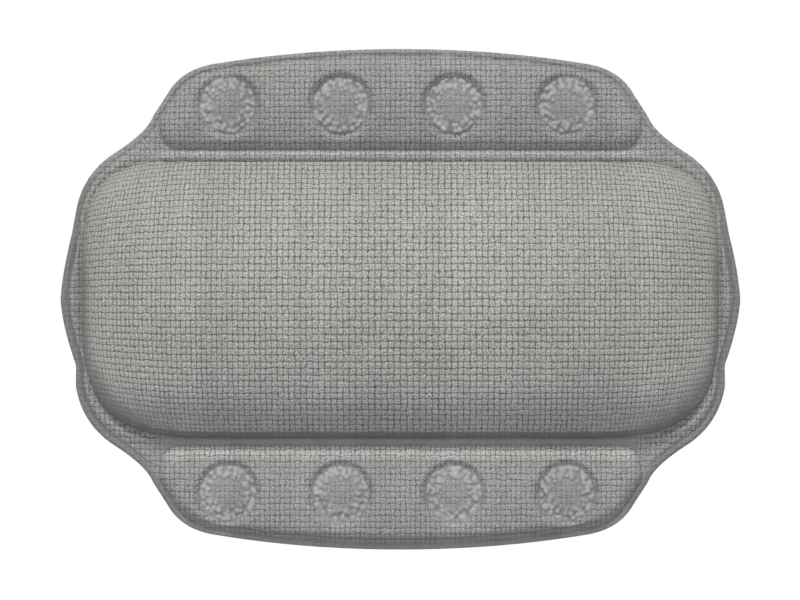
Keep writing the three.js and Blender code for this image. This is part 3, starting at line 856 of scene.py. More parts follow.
def keep_sharp(bm, boundary, raised, source):
    """Marks a body's upper edge sharp where it meets another piece, so that no shade shows there."""
    ends = np.array([[raised[vert[source]].co[:2] for vert in edge.verts] for edge in boundary])
    distance, _ = EDGE_NEAREST.find(*ends.mean(axis=1).T)
    for edge, away in zip(boundary, distance):
        top = bm.edges.get([raised[vert[source]] for vert in edge.verts])
        top.smooth = bool(away < ON_EDGE)


# Dome


def column_arc(u):
    """Length along the dome's middle row at which a column lies. Columns lie wider towards the middle."""
    arcs = np.linspace(0, SPINE_END + 1.2 * ARCH_RADIUS, 600)
    fade = np.cos(np.clip(arcs / PITCH_FADE, 0, 1) * math.pi / 2) ** 2
    pitch = END_PITCH + (MIDDLE_PITCH - END_PITCH) * fade
    counts = np.concatenate([[0], np.cumsum(np.diff(arcs) / pitch[1:])])
    return np.sign(u) * np.interp(np.abs(u), counts, arcs)


def dome_plan(u, v):
    """Where a point of the weave lies in plan: rows and columns draw together over the rounded ends."""
    arc = column_arc(u)
    across = np.maximum(np.abs(arc) - SPINE_END, 0) / ARCH_RADIUS
    along = v * DOME_ROW_PITCH / ARCH_RADIUS
    past = ARCH_RADIUS * np.sin(across) * (1 - GATHER * (1 - np.cos(along)))
    x = np.sign(arc) * (np.minimum(np.abs(arc), SPINE_END) + past)
    y = ARCH_RADIUS * np.sin(along) * (1 - GATHER * (1 - np.cos(across)))
    return x, y


def arch(x, y):
    """Height of the dome, drawn down at the crease."""
    out = np.minimum(reach(x, y), CREASE)
    height = ARCH_CENTRE + np.sqrt(ARCH_RADIUS**2 - out**2)
    return height - crease_depth(x, y) * ridge_at(CREASE - out, DOME_CREASE)


def dome_grid(samples):
    """A trimmed grid over the dome, in plan, with its weave coordinates."""
    columns, rows = (2 * round(count * samples) for count in DOME_CELLS)
    bm, i, j = grid(columns, rows)
    u, v = (i - columns / 2) / samples, (j - rows / 2) / samples
    x, y = dome_plan(u, v)
    place(bm, x, y, 0 * x)
    set_layer(bm, "weave", np.column_stack([u, v, 0 * u]))
    trim(bm, np.clip(reach(x, y) - CREASE, -END_PITCH, END_PITCH))
    edge, plan = open_edge(bm)
    for vert, point in zip(edge, np.column_stack(at_reach(*plan.T, CREASE))):
        vert.co.x, vert.co.y = point
    return bm


def dome_normals(x, y):
    step = 0.05 * MM
    slope_x = (arch(x + step, y) - arch(x - step, y)) / (2 * step)
    slope_y = (arch(x, y + step) - arch(x, y - step)) / (2 * step)
    normal = np.column_stack([-slope_x, -slope_y, np.ones_like(x)])
    return normal / np.linalg.norm(normal, axis=1)[:, None]


def inflate(piece, cap, pins=None):
    """Swells a mesh with the cloth simulation, no point further than the cap, and leaves no modifier."""
    scene = bpy.context.scene
    rest = points_of(piece)
    cloth = piece.modifiers.new("inflate", "CLOTH")
    cloth.settings.use_pressure = True
    cloth.settings.uniform_pressure_force = PRESSURE
    cloth.settings.effector_weights.gravity = 0
    cloth.point_cache.frame_end = CLOTH_FRAMES
    if pins is not None:
        group = piece.vertex_groups.new(name="pins")
        group.add(pins, 1.0, "REPLACE")
        cloth.settings.vertex_group_mass = group.name
    for step in range(1, CLOTH_FRAMES + 1):
        scene.frame_set(step)
    moved = points_of(piece.evaluated_get(bpy.context.evaluated_depsgraph_get())) - rest
    piece.modifiers.remove(cloth)
    scene.frame_set(1)
    far = np.linalg.norm(moved, axis=1)[:, None]
    move(piece, rest + moved * np.minimum(1, cap / np.maximum(far, 1e-9)))


def swollen_dome(x, y):
    """Height of the dome once pressure has rounded it, at the frame's crown."""
    plain = arch(x, y)
    bm = dome_grid(BALLOON_SAMPLES)
    px, py = plan_of(bm)
    place(bm, px, py, WELD_TOP + (arch(px, py) - WELD_TOP) * DOME_START)
    pins = [vert.index for vert in bm.verts if vert.is_boundary]
    balloon = finished(bm, "balloon", None)
    inflate(balloon, DOME_CAP, pins)
    points = [vert.co.copy() for vert in balloon.data.vertices]
    tree = BVHTree.FromPolygons(points, [face.vertices[:] for face in balloon.data.polygons])
    bpy.data.objects.remove(balloon)
    above = DOME_TOP + 0.1
    hits = [tree.ray_cast((px, py, above), (0, 0, -1))[0] for px, py in zip(x, y)]
    found = np.array([hit.z if hit else math.nan for hit in hits])
    grown = WELD_TOP + (found - WELD_TOP) * RISE / (np.nanmax(found) - WELD_TOP)
    change = np.clip(np.where(np.isnan(grown), plain, grown) - plain, *DOME_CHANGE)
    return plain + change * smoothstep(*DOME_HELD, CREASE - reach(x, y))


def flank_swell(x, y, inward):
    """Fuller flanks at the chamber's ends and below, where the cover turns down more steeply to the weld."""
    ends = END_SWELL * smoothstep(*END_SWELL_RUN, np.abs(x)) * bulge(inward / END_FLANK)
    below = LOW_SWELL * smoothstep(*LOW_SWELL_RUN, y) * bulge(inward / LOW_FLANK)
    return np.maximum(ends, below)


def bulge(depth):
    """Rises steeply from nothing to one at a depth of one, and fades slowly."""
    return depth * np.exp(1 - depth)


def lumps(x, y, seed):
    """Slow unevenness of the filling under the face, about a unit high."""
    random = np.random.default_rng(seed)
    height = np.zeros_like(x)
    for _ in range(LUMP_WAVES):
        way, phase = random.uniform(0, 2 * math.pi, 2)
        wave = 2 * math.pi / (random.uniform(*LUMP_LENGTHS) * MM)
        height += np.sin(wave * (x * math.cos(way) + y * math.sin(way)) + phase)
    return height / LUMP_UNIT


def dome_painted_light(x, y, inward):
    """Painted shade on the dome's weave at its crease, foot, end flanks and lower corners, which also presses
    the weave flat, and painted highlight where it is negative.
    """
    wide = np.abs(x)
    foot = smoothstep(*FOOT_BELOW, y) * smoothstep(*FOOT_RUN, inward)
    flank = DOME_FLANK_PAINTED_SHADE * smoothstep(*FLANK_ENDS, wide) * smoothstep(*FLANK_RUN, inward)
    flank *= 1 - FLANK_LESS * smoothstep(*FLANK_UPPER, y)
    corner = DOME_CORNER_PAINTED_SHADE * smoothstep(*CORNER_ENDS, wide) * smoothstep(*CORNER_BELOW, y)
    corner *= smoothstep(*CORNER_RUN, inward)
    crease = painted_crease_shade(y) * ridge_at(inward, CREASE_SHADE)
    painted_highlight = DOME_PAINTED_HIGHLIGHT * ridge_at(inward, CREASE_WIDTH) * smoothstep(*LIFT_UPPER, y)
    return np.max([crease, DOME_FOOT_PAINTED_SHADE * foot, flank, corner], axis=0) - painted_highlight


def dome_piece(material):
    bm = dome_grid(DOME_SAMPLES)
    x, y = plan_of(bm)
    layer = bm.verts.layers.float_vector["weave"]
    u, v, _ = np.array([vert[layer] for vert in bm.verts]).T
    weave = Weave(DOME_SEED)
    inward = CREASE - reach(x, y)
    on_edge = np.array([vert.is_boundary for vert in bm.verts])
    free = np.where(on_edge, 0, smoothstep(*DOME_EASE, inward) * (1 - DOME_FREE) + DOME_FREE)
    shift = weave.shift(u, v) * WANDER * free[:, None]
    x, y = x + shift[:, 0] * END_PITCH, y + shift[:, 1] * DOME_ROW_PITCH * ROW_WANDER
    uneven = LUMP * lumps(x, y, LUMP_SEED) * smoothstep(*LUMP_FADE, inward)
    height = swollen_dome(x, y) + uneven + flank_swell(x, y, inward)
    nub = sizes().nub_height * weave.nub(u, v) * free
    place(bm, *(np.column_stack([x, y, height]) + dome_normals(x, y) * nub[:, None]).T)
    # The dome's pressed layer holds its painted shade and painted highlight.
    set_layer(bm, "pressed", dome_painted_light(x, y, inward))
    set_layer(bm, "fused", 0 * x)
    line_dome(bm)
    return finished(bm, "pillow_face", material)


def line_dome(bm):
    """Closes the dome from below: down to the weld, then up along the inside of the cover to the spine."""
    edges = [edge for edge in bm.edges if edge.is_boundary]
    for edge in edges:
        edge.smooth = False
    for level in LINING_LEVELS:
        edges, ring = extruded(bm, edges)
        x, y, _ = np.array([vert.co for vert in ring]).T
        if level == 0:
            y = 0 * y
            x = np.clip(np.round(x / END_PITCH) * END_PITCH, -SPINE_END, SPINE_END)
        elif level < 1:
            x, y = at_reach(x, y, level * CREASE)
        under = ARCH_CENTRE + np.sqrt((ARCH_RADIUS - LINING) ** 2 - (level * CREASE) ** 2)
        for vert, px, py in zip(ring, x, y):
            vert.co = (px, py, WELD_UNDER if level == 1 else max(under, WELD_UNDER))
    bmesh.ops.remove_doubles(bm, verts=ring, dist=END_PITCH / 4)


# Back sheets


def puckers(count, seed):
    """Uneven small folds at even steps along a closed line, from none to one."""
    random = np.random.default_rng(seed)
    turn = np.arange(count) / count * 2 * math.pi
    folds = np.zeros(count)
    for _ in range(PUCKER_WAVES):
        deep = random.uniform(*PUCKER_DEPTHS)
        folds += deep * np.sin(random.integers(*PUCKER_COUNTS) * turn + random.uniform(0, 2 * math.pi))
    return smoothstep(0, 3, np.abs(folds))


def chamber_back(material):
    """The tray behind the chamber: a flat floor, a rounded and puckered shoulder, and a rim."""
    x, y = resampled(crease_line(), BACK_STEP)[:-1].T
    outer = np.where(np.abs(x) > SPINE_END, np.sign(x) * (half_width(y) - BACK_INSET), x)
    rings = [(across, y, BACK_FACE, 0.0) for across in (outer, (outer + x) / 2, x)]
    floor = CREASE - BACK_INSET - SHOULDER
    for turn in np.linspace(math.pi / 2, 0, SHOULDER_RINGS):
        out = CREASE - BACK_INSET - SHOULDER * (1 - math.sin(turn))
        height = BACK_FACE * (1 - math.cos(turn))
        rings.append((*at_reach(x, y, out), height, math.sin(2 * turn) + PUCKER_LEAST))
    rings += [(*at_reach(x, y, floor * share), 0.0, FLOOR_PUCKER * share) for share in FLOOR_RINGS]
    folds = PUCKER * puckers(len(x), PUCKER_SEED)
    bm = bmesh.new()
    bmesh.ops.create_circle(bm, segments=len(x), radius=1)
    edges, ring = bm.edges[:], bm.verts[:]
    for index, (px, py, height, fold) in enumerate(rings):
        if index:
            edges, ring = extruded(bm, edges)
        for vert, point in zip(ring, np.column_stack([px, py, height + fold * folds])):
            vert.co = point
    bmesh.ops.contextual_create(bm, geom=edges)
    return doubled(bm, "pillow_back", material)


def doubled(bm, name, material):
    """Gives a sheet its thickness upwards, from its outer face below."""
    bmesh.ops.recalc_face_normals(bm, faces=bm.faces[:])
    if sum(face.normal.z * face.calc_area() for face in bm.faces) > 0:
        bmesh.ops.reverse_faces(bm, faces=bm.faces[:])
    bmesh.ops.solidify(bm, geom=bm.faces[:], thickness=BACK_TOP - BACK_FACE)
    return finished(bm, name, material)


def flange_back(side, sign, material):
    """The sheet behind a flange, with its neck holes and the rings that the welds press into it."""
    step = FLANGE_BACK_STEP
    columns = math.ceil(half_width(sign * CREASE) / step)
    rows = math.ceil((HALF_HEIGHT - CREASE) / step)
    centres = np.array(mark_places(side))
    bm, i, j = grid(2 * columns, rows)
    x, y = (i - columns) * step, sign * (CREASE + j * step)
    place(bm, x, y, 0 * x)
    distance, _ = EDGE_NEAREST.find(x, y)
    within = (np.abs(x) < half_width(y)) & (np.abs(y) <= HALF_HEIGHT - EDGE_ROUND)
    past = BACK_INSET + np.where(within, -distance, distance)
    trim(bm, np.clip(np.maximum(past, NECK_HOLE - to_centres(x, y, centres)), -step, step))
    edge, ends = open_edge(bm)
    _, nearest = EDGE_NEAREST.find(*ends.T)
    inner = nearest - BACK_INSET * outline_normal(nearest)
    for vert, end, target in zip(edge, ends, inner):
        offsets = end - centres
        lengths = np.hypot(*offsets.T)
        best = lengths.argmin()
        if lengths[best] < 2 * NECK_HOLE:
            target = centres[best] + offsets[best] * NECK_HOLE / lengths[best]
        elif abs(end[1] - sign * CREASE) < step / 10:
            target = end
        vert.co.x, vert.co.y = target
    x, y = plan_of(bm)
    hole = to_centres(x, y, centres)
    mark = ridge_at(hole - sizes().mark_radius, MARK_PRINT)
    head = ridge_at(hole - sizes().head_radius, HEAD_PRINT)
    place(bm, x, y, BACK_FACE + IMPRINT * np.clip(mark + head, 0, 1))
    return doubled(bm, f"{side}_flange_back", material)


def to_centres(x, y, centres):
    return np.min([np.hypot(x - cx, y - cy) for cx, cy in centres], axis=0)


# Cups


def cup_profile():
    """Half section of a cup, from the middle of its hollow round the lip and up the bell to its head."""
    _, low, high = cup_box("upper", 1)
    radius = (high.x - low.x) / 2
    top = high.z - low.z
    under = WELD_UNDER - low.z
    hollow = radius - LIP_WIDTH
    bell = HOLLOW + CUP_WALL
    tip = LIP_EDGE / 2
    turns = np.linspace(0, math.pi / 2, 18)
    profile = [(hollow * math.sin(turn), HOLLOW * math.cos(turn)) for turn in turns]
    for turn in np.linspace(*LIP_TURNS, 7):
        profile.append((radius - tip + tip * math.cos(turn), tip + tip * math.sin(turn)))
    for turn in np.linspace(*BELL_TURNS, 14):
        out = hollow * BELL_SHARE * math.sin(turn) + CUP_WALL * math.sin(turn) ** BELL_FLARE
        profile.append((out, bell * math.cos(turn) ** BELL_ROUND + LIP_EDGE))
    profile += [(NECK + NECK_FLARE, bell - NECK_SUNK), (NECK, bell + NECK_FLARE)]
    profile.append((NECK, under - NECK_SHORT))
    profile += [(HEAD - HEAD_SOFT, under), (HEAD, under + HEAD_SOFT)]
    return profile + [(HEAD, top - HEAD_SOFT), (HEAD - HEAD_SOFT, top), (0, top)]


def cup(side, index, material):
    centre, _, _ = cup_box(side, index)
    profile = cup_profile()
    bm = bmesh.new()
    last = bmesh.ops.create_vert(bm, co=(profile[0][0], 0, profile[0][1]))["vert"]
    for out, height in profile[1:]:
        last = bmesh.ops.extrude_vert_indiv(bm, verts=last)["verts"]
        last[0].co = (out, 0, height)
    section = bm.verts[:] + bm.edges[:]
    turn = 2 * math.pi
    bmesh.ops.spin(
        bm, geom=section, cent=(0, 0, 0), axis=(0, 0, 1), angle=turn, steps=CUP_STEPS, use_merge=True
    )
    bmesh.ops.remove_doubles(bm, verts=bm.verts[:], dist=0.01 * MM)
    bmesh.ops.translate(bm, verts=bm.verts[:], vec=centre)
    return finished(bm, f"cup_{side}_{index}", material), centre


# Fillings


def remeshed(node, name, voxel, material):
    """A copy of a frame node's shape, merged and rebuilt in even cells."""
    bm = bmesh.new()
    bm.from_mesh(frame["nodes"][node].data)
    bmesh.ops.remove_doubles(bm, verts=bm.verts[:], dist=0.001 * MM)
    piece = finished(bm, name, material)
    cells = piece.modifiers.new("cells", "REMESH")
    cells.mode = "VOXEL"
    cells.voxel_size = voxel
    shown = piece.evaluated_get(bpy.context.evaluated_depsgraph_get())
    mesh = bpy.data.meshes.new_from_object(shown)
    piece.modifiers.clear()
    piece.data = mesh
    mesh.materials.clear()
    mesh.materials.append(material)
    return piece


def shade_smooth(piece):
    for face in piece.data.polygons:
        face.use_smooth = True


def filling(material):
    piece = remeshed("pillow_filling", "fibre_filling", FILLING_CELL, material)
    points = points_of(piece)
    middle = (points.min(axis=0) + points.max(axis=0)) / 2
    move(piece, middle + (points - middle) * FILLING_START)
    inflate(piece, FILLING_CAP)
    finer = piece.modifiers.new("finer", "SUBSURF")
    finer.levels = finer.render_levels = 1
    shade_smooth(piece)
    return piece


def padding(side, material):
    piece = remeshed(f"{side}_flange_padding", f"{side}_padding", PADDING_CELL, material)
    points = points_of(piece)
    low = points[:, 2].min()
    points[:, 2] = low + (points[:, 2] - low) * PADDING_REST
    move(piece, points)
    relax = piece.modifiers.new("relax", "SMOOTH")
    relax.iterations = 2
    shade_smooth(piece)
    return piece


# Pieces


def fold_ends(sign, height):
    """Where a cover starts and ends its bend across a fold line."""
    return [(0, sign * (FOLD_LINE + step * BAND / 2), height) for step in (-1, 1)]


class BathPillowFace(bpy.types.Operator):
    """Woven face of the filled chamber"""

    bl_idname = "bath_pillow.face"
    bl_label = "Chamber face"

    def execute(self, context):
        material = woven_material("chamber_mesh", colours().dome, columns=0.62, rows=0.66, speckle=1.0)
        piece = dome_piece(material)
        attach(piece, "pillow")
        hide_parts("pillow_front_cover")
        return {"FINISHED"}


class BathPillowFlats(bpy.types.Operator):
    """Side borders, weld bands and flanges of the woven cover"""

    bl_idname = "bath_pillow.flats"
    bl_label = "Borders and flanges"

    def execute(self, context):
        material = woven_material("flange_mesh", colours().flat, columns=0.52, rows=0.54, speckle=0.95)
        borders = flat_piece("side_borders", -SIDE_CUT, SIDE_CUT, SIDE_REACH, [], BORDER_SEED, material)
        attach(borders, "pillow")
        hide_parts("pillow_front_cover")
        for side, sign, seed in zip(SIDES, SIGNS, FLANGE_SEEDS):
            low, high = sorted((sign * SIDE_CUT, sign * HALF_HEIGHT))
            widest = float(half_width(SIDE_CUT)) + RIM
            name = f"{side}_flange_cover"
            flange = flat_piece(name, low, high, widest, mark_places(side), seed, material)
            start, end = fold_ends(sign, WELD_TOP)
            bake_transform(flange, "pillow", f"{side}_flange", start=start, end=end)
            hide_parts(f"{side}_flange_front_cover")
        return {"FINISHED"}


class BathPillowBacks(bpy.types.Operator):
    """Thin sheets behind the chamber and the flanges"""

    bl_idname = "bath_pillow.backs"
    bl_label = "Back sheets"

    def execute(self, context):
        material, _ = grained("back")
        tray = chamber_back(material)
        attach(tray, "pillow")
        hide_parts("pillow_back_cover")
        for side, sign in zip(SIDES, SIGNS):
            back = flange_back(side, sign, material)
            start, end = fold_ends(sign, BACK_FACE)
            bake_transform(back, "pillow", f"{side}_flange", start=start, end=end)
            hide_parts(f"{side}_flange_back_cover")
        return {"FINISHED"}


class BathPillowCups(bpy.types.Operator):
    """Eight clear suction cups"""

    bl_idname = "bath_pillow.cups"
    bl_label = "Suction cups"

    def execute(self, context):
        material, shader = grained("cup")
        shader.inputs["Transmission Weight"].default_value = 0.92
        shader.inputs["IOR"].default_value = 1.52
        for side in SIDES:
            for index in range(1, CUPS_PER_ROW + 1):
                name = f"suction_cup_{side}_{index}"
                piece, centre = cup(side, index, material)
                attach(piece, name)
                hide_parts(name)
                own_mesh(piece)
        return {"FINISHED"}


class BathPillowFillings(bpy.types.Operator):
    """Fibre filling of the chamber and foam layers of the flanges"""

    bl_idname = "bath_pillow.fillings"
    bl_label = "Fillings"

    def execute(self, context):
        fibre = filling(grained("fibre")[0])
        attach(fibre, "pillow")
        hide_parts("pillow_filling")
        foam, _ = grained("foam")
        for side in SIDES:
            layer = padding(side, foam)
            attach(layer, f"{side}_flange")
            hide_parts(f"{side}_flange_padding")
        return {"FINISHED"}


# Finishes

# Grained finishes by colour: name, grain's scale, relief, roughness and contrast.
GRAINED = {
    "back": ("grained_sheet", 1400, 0.12 * MM, 0.55, 0.06),
    "fibre": ("fibre", 900, 0.5 * MM, 0.92, 0.12),
    "foam": ("foam", 1600, 0.3 * MM, 0.9, 0.15),
    "cup": ("clear_vinyl", 260, 0.02 * MM, 0.16, 0.03),
}
WEAVE_INPUTS = {
    "NodeSocketVector": ("Weave",),
    "NodeSocketFloat": ("Gap", "Columns", "Rows", "Speckle", "Pressed", "Fused"),
    "NodeSocketColor": ("Nub Colour", "Gap Colour"),
}
GAP_WIDTH = 0.17
NUB_BUMP, NUB_RELIEF, NUB_ROUGHNESS, NUB_GLOSS = 0.55, 0.3 * MM, 0.78, 0.3

# Tones of the weave, each from a low to a high value of its cause and the factors there.
GRAIN_TONE = (0.35, 0.65, -0.34, 0.3)
RUN_SCALE, RUN_START, RUN_TONE = (0.2, 0.004, 0.0), (0.0, 0.4, 0.6), (0.3, 0.7, 0.955, 1.045)
# Fused: painted shade between the beads and on the strip below the chamber, painted highlight on the beads'
# tops.
FUSED_PAINTED_SHADE, FUSED_PAINTED_HIGHLIGHT = (0.1, 0.35, 1.0, 0.78), (0.42, 0.9, 1.0, 1.62)
# Negative pressed values give a lighter tone as painted highlight.
PRESSED_TONE_AND_PAINTED_SHADE, PAINTED_HIGHLIGHT_TONE = (0.25, 1.0, 1.0, 0.5), (-1.0, 0.0, 1.6, 1.0)


class Nodes:
    """A node tree with short calls for the nodes that the finishes use."""

    def __init__(self, tree):
        self.tree = tree

    def add(self, kind, inputs=(), **settings):
        node = self.tree.nodes.new(kind)
        for key, value in settings.items():
            setattr(node, key, value)
        for key, value in dict(inputs).items():
            self.feed(value, node.inputs[key])
        return node

    def feed(self, value, socket):
        if isinstance(value, bpy.types.NodeSocket):
            self.tree.links.new(value, socket)
        else:
            socket.default_value = value

    def math(self, operation, *values):
        return self.add("ShaderNodeMath", enumerate(values), operation=operation).outputs[0]

    def times(self, first, second):
        return self.math("MULTIPLY", first, second)

    def less(self, first, second):
        return self.math("SUBTRACT", first, second)

    def vector(self, operation, *values):
        return self.add("ShaderNodeVectorMath", enumerate(values), operation=operation).outputs[0]

    def step(self, value, low, high, out_low=0.0, out_high=1.0):
        values = enumerate((value, low, high, out_low, out_high))
        return self.add("ShaderNodeMapRange", values, interpolation_type="SMOOTHSTEP").outputs[0]

    def noise(self, vector, scale, detail=2.0, output="Fac"):
        values = {"Vector": vector, "Scale": scale, "Detail": detail}
        return self.add("ShaderNodeTexNoise", values).outputs[output]

    def mix(self, share, first, second, blend="MIX"):
        node = self.add("ShaderNodeMix", data_type="RGBA", blend_type=blend)
        for key, value in (("Factor", share), ("A", first), ("B", second)):
            self.feed(value, node.inputs[key])
        return node.outputs["Result"]

    def toned(self, colour, tone):
        shade = self.add("ShaderNodeCombineColor", {0: tone, 1: tone, 2: tone}).outputs[0]
        return self.mix(1.0, colour, shade, "MULTIPLY")

    def bump(self, height, strength, distance):
        values = {"Height": height, "Strength": strength, "Distance": distance}
        return self.add("ShaderNodeBump", values).outputs[0]

    def blended(self, share, first, second):
        return self.add("ShaderNodeMixShader", {0: share, 1: first, 2: second}).outputs[0]

    def seen(self):
        """One for rays from the camera, off gloss or through glass, and none for light."""
        path = self.add("ShaderNodeLightPath").outputs
        direct = self.math("MAXIMUM", path["Is Camera Ray"], path["Is Glossy Ray"])
        return self.math("MAXIMUM", direct, path["Is Transmission Ray"])


def new_material(name):
    """A fresh material, its nodes and its surface shader."""
    material = bpy.data.materials.new(name)
    material.use_nodes = True
    return material, Nodes(material.node_tree), material.node_tree.nodes["Principled BSDF"]


def opaque(colour):
    return (*colour, 1.0)


def woven_group():
    """Nubs of the foamed mesh with dark gaps between them, read from the weave's own coordinates."""
    name = "woven_nubs"
    if name in bpy.data.node_groups:
        return bpy.data.node_groups[name]
    tree = bpy.data.node_groups.new(name, "ShaderNodeTree")
    for kind, labels in WEAVE_INPUTS.items():
        for label in labels:
            tree.interface.new_socket(label, in_out="INPUT", socket_type=kind)
    tree.interface.new_socket("Colour", in_out="OUTPUT", socket_type="NodeSocketColor")
    tree.interface.new_socket("Height", in_out="OUTPUT", socket_type="NodeSocketFloat")
    nodes = Nodes(tree)
    given = nodes.add("NodeGroupInput").outputs
    weave, fused, pressed = given["Weave"], given["Fused"], given["Pressed"]
    wander = nodes.vector("SUBTRACT", nodes.noise(weave, 1.25, 2.0, "Color"), (0.5, 0.5, 0.5))
    moved = nodes.vector("ADD", weave, nodes.vector("MULTIPLY", wander, (0.6, 0.38, 0.0)))
    parts = nodes.add("ShaderNodeSeparateXYZ", {"Vector": moved}).outputs
    gaps = []
    offs = []
    for axis, start in (("X", (0.0, 3.0, 5.0)), ("Y", (9.0, 2.0, 7.0))):
        off = nodes.math("ABSOLUTE", nodes.less(nodes.math("FRACT", parts[axis]), 0.5))
        off = nodes.times(off, 2.0)
        broken = nodes.noise(nodes.vector("ADD", weave, start), 1.7, 1.0)
        width = nodes.times(given["Gap"], nodes.step(broken, 0.34, 0.6, 0.35, 1.35))
        begin = nodes.less(1.0, width)
        gaps.append(nodes.step(off, nodes.less(begin, 0.08), nodes.math("ADD", begin, 0.06)))
        offs.append(off)
    rows = nodes.times(gaps[1], given["Rows"])
    gap = nodes.math("MINIMUM", nodes.math("MULTIPLY_ADD", gaps[0], given["Columns"], rows), 1.0)
    cell = nodes.vector("FLOOR", moved)
    chance = nodes.add("ShaderNodeTexWhiteNoise", {"Vector": cell}, noise_dimensions="3D").outputs["Value"]
    middle = nodes.math("MAXIMUM", *offs)
    pinhole = nodes.times(nodes.step(chance, 0.84, 0.86), nodes.step(middle, 0.32, 0.1))
    flattened = nodes.math("MAXIMUM", nodes.step(fused, 0.05, 0.35), nodes.times(pressed, 0.65))
    standing = nodes.less(1.0, flattened)
    gap = nodes.times(nodes.math("MAXIMUM", gap, nodes.times(pinhole, 0.6)), standing)
    grain = nodes.noise(weave, 4.0, 1.0)
    rough = nodes.times(given["Speckle"], nodes.less(1.0, nodes.times(flattened, 0.75)))
    tone = nodes.math("MULTIPLY_ADD", nodes.step(grain, *GRAIN_TONE), rough, 1.0)
    tone = nodes.math("MULTIPLY_ADD", nodes.less(chance, 0.5), 0.12, tone)
    runs = nodes.vector("ADD", nodes.vector("MULTIPLY", weave, RUN_SCALE), RUN_START)
    # The pressed layer darkens pressed weave and adds painted shade, or painted highlight where negative; the
    # fused layer adds painted shade and highlight on the beads and the strip below the chamber.
    for cause, change in (
        (nodes.noise(runs, 1.0, 1.0), RUN_TONE),
        (fused, FUSED_PAINTED_SHADE),
        (fused, FUSED_PAINTED_HIGHLIGHT),
        (pressed, PRESSED_TONE_AND_PAINTED_SHADE),
        (pressed, PAINTED_HIGHLIGHT_TONE),
    ):
        tone = nodes.times(tone, nodes.step(cause, *change))
    colour = nodes.mix(gap, nodes.toned(given["Nub Colour"], tone), given["Gap Colour"])
    rounded = nodes.less(1.0, nodes.math("POWER", middle, 4.0))
    relief = nodes.times(nodes.less(rounded, gap), standing)
    height = nodes.math("ADD", relief, nodes.times(grain, 1.2))
    nodes.add("NodeGroupOutput", {"Colour": colour, "Height": height})
    return tree


def woven_material(name, nub, columns, rows, speckle):
    """A foamed mesh whose dark gaps follow its own rows and columns."""
    material, nodes, shader = new_material(name)
    values = {"Gap": GAP_WIDTH, "Columns": columns, "Rows": rows, "Speckle": speckle}
    values |= {"Nub Colour": opaque(nub), "Gap Colour": opaque(colours().gap)}
    for label, output in (("Weave", "Vector"), ("Pressed", "Fac"), ("Fused", "Fac")):
        values[label] = nodes.add("ShaderNodeAttribute", attribute_name=label.lower()).outputs[output]
    group = nodes.add("ShaderNodeGroup", node_tree=woven_group())
    for label, value in values.items():
        nodes.feed(value, group.inputs[label])
    nodes.feed(group.outputs["Colour"], shader.inputs["Base Color"])
    nodes.feed(nodes.bump(group.outputs["Height"], NUB_BUMP, NUB_RELIEF), shader.inputs["Normal"])
    shader.inputs["Roughness"].default_value = NUB_ROUGHNESS
    shader.inputs["Specular IOR Level"].default_value = NUB_GLOSS
    return material


def grained(kind):
    """A plain finish with a fine grain in tone and relief, and its shader."""
    name, scale, relief, roughness, contrast = GRAINED[kind]
    material, nodes, shader = new_material(name)
    place_in = nodes.add("ShaderNodeTexCoord").outputs["Object"]
    grain = nodes.noise(place_in, scale, 4.0)
    tone = nodes.step(grain, 0.3, 0.7, 1 - contrast, 1 + contrast)
    worn = nodes.step(nodes.noise(place_in, scale / 6, 2.0), 0.3, 0.7, roughness - 0.08, roughness + 0.08)
    nodes.feed(nodes.toned(opaque(getattr(colours(), kind)), tone), shader.inputs["Base Color"])
    nodes.feed(nodes.bump(grain, 0.5, relief), shader.inputs["Normal"])
    nodes.feed(worn, shader.inputs["Roughness"])
    return material, shader


# Stage

# Light: strengths, spreads in degrees and the ways that it comes from.
AMBIENT, HORIZON, ZENITH = 0.7, 0.5, 1.25
KEY, KEY_SPREAD, KEY_FROM = 1.9, 10, (-0.06, 0.76, 0.65)
UNDER, UNDER_SPREAD, UNDER_FROM = 1.8, 40, (-0.4, 0.5, -0.8)

# Floor, low enough for flanges that are folded down: what it throws back, and how it is seen.
FLOOR_DROP, FLOOR_HALF = 42 * MM, 4
FLOOR_BOUNCE, FLOOR_PALE, FLOOR_SHARE, FLOOR_WHITE = 0.25, 0.85, 0.9, 1.06
WHITE = (1, 1, 1, 1)

# Camera: lens and sensor in millimetres, and the width and centre of what it sees.
LENS, SENSOR = 200, 36
VIEW_WIDTH = 388.24 * MM
VIEW_CENTRE = mm(-0.2, -0.35)


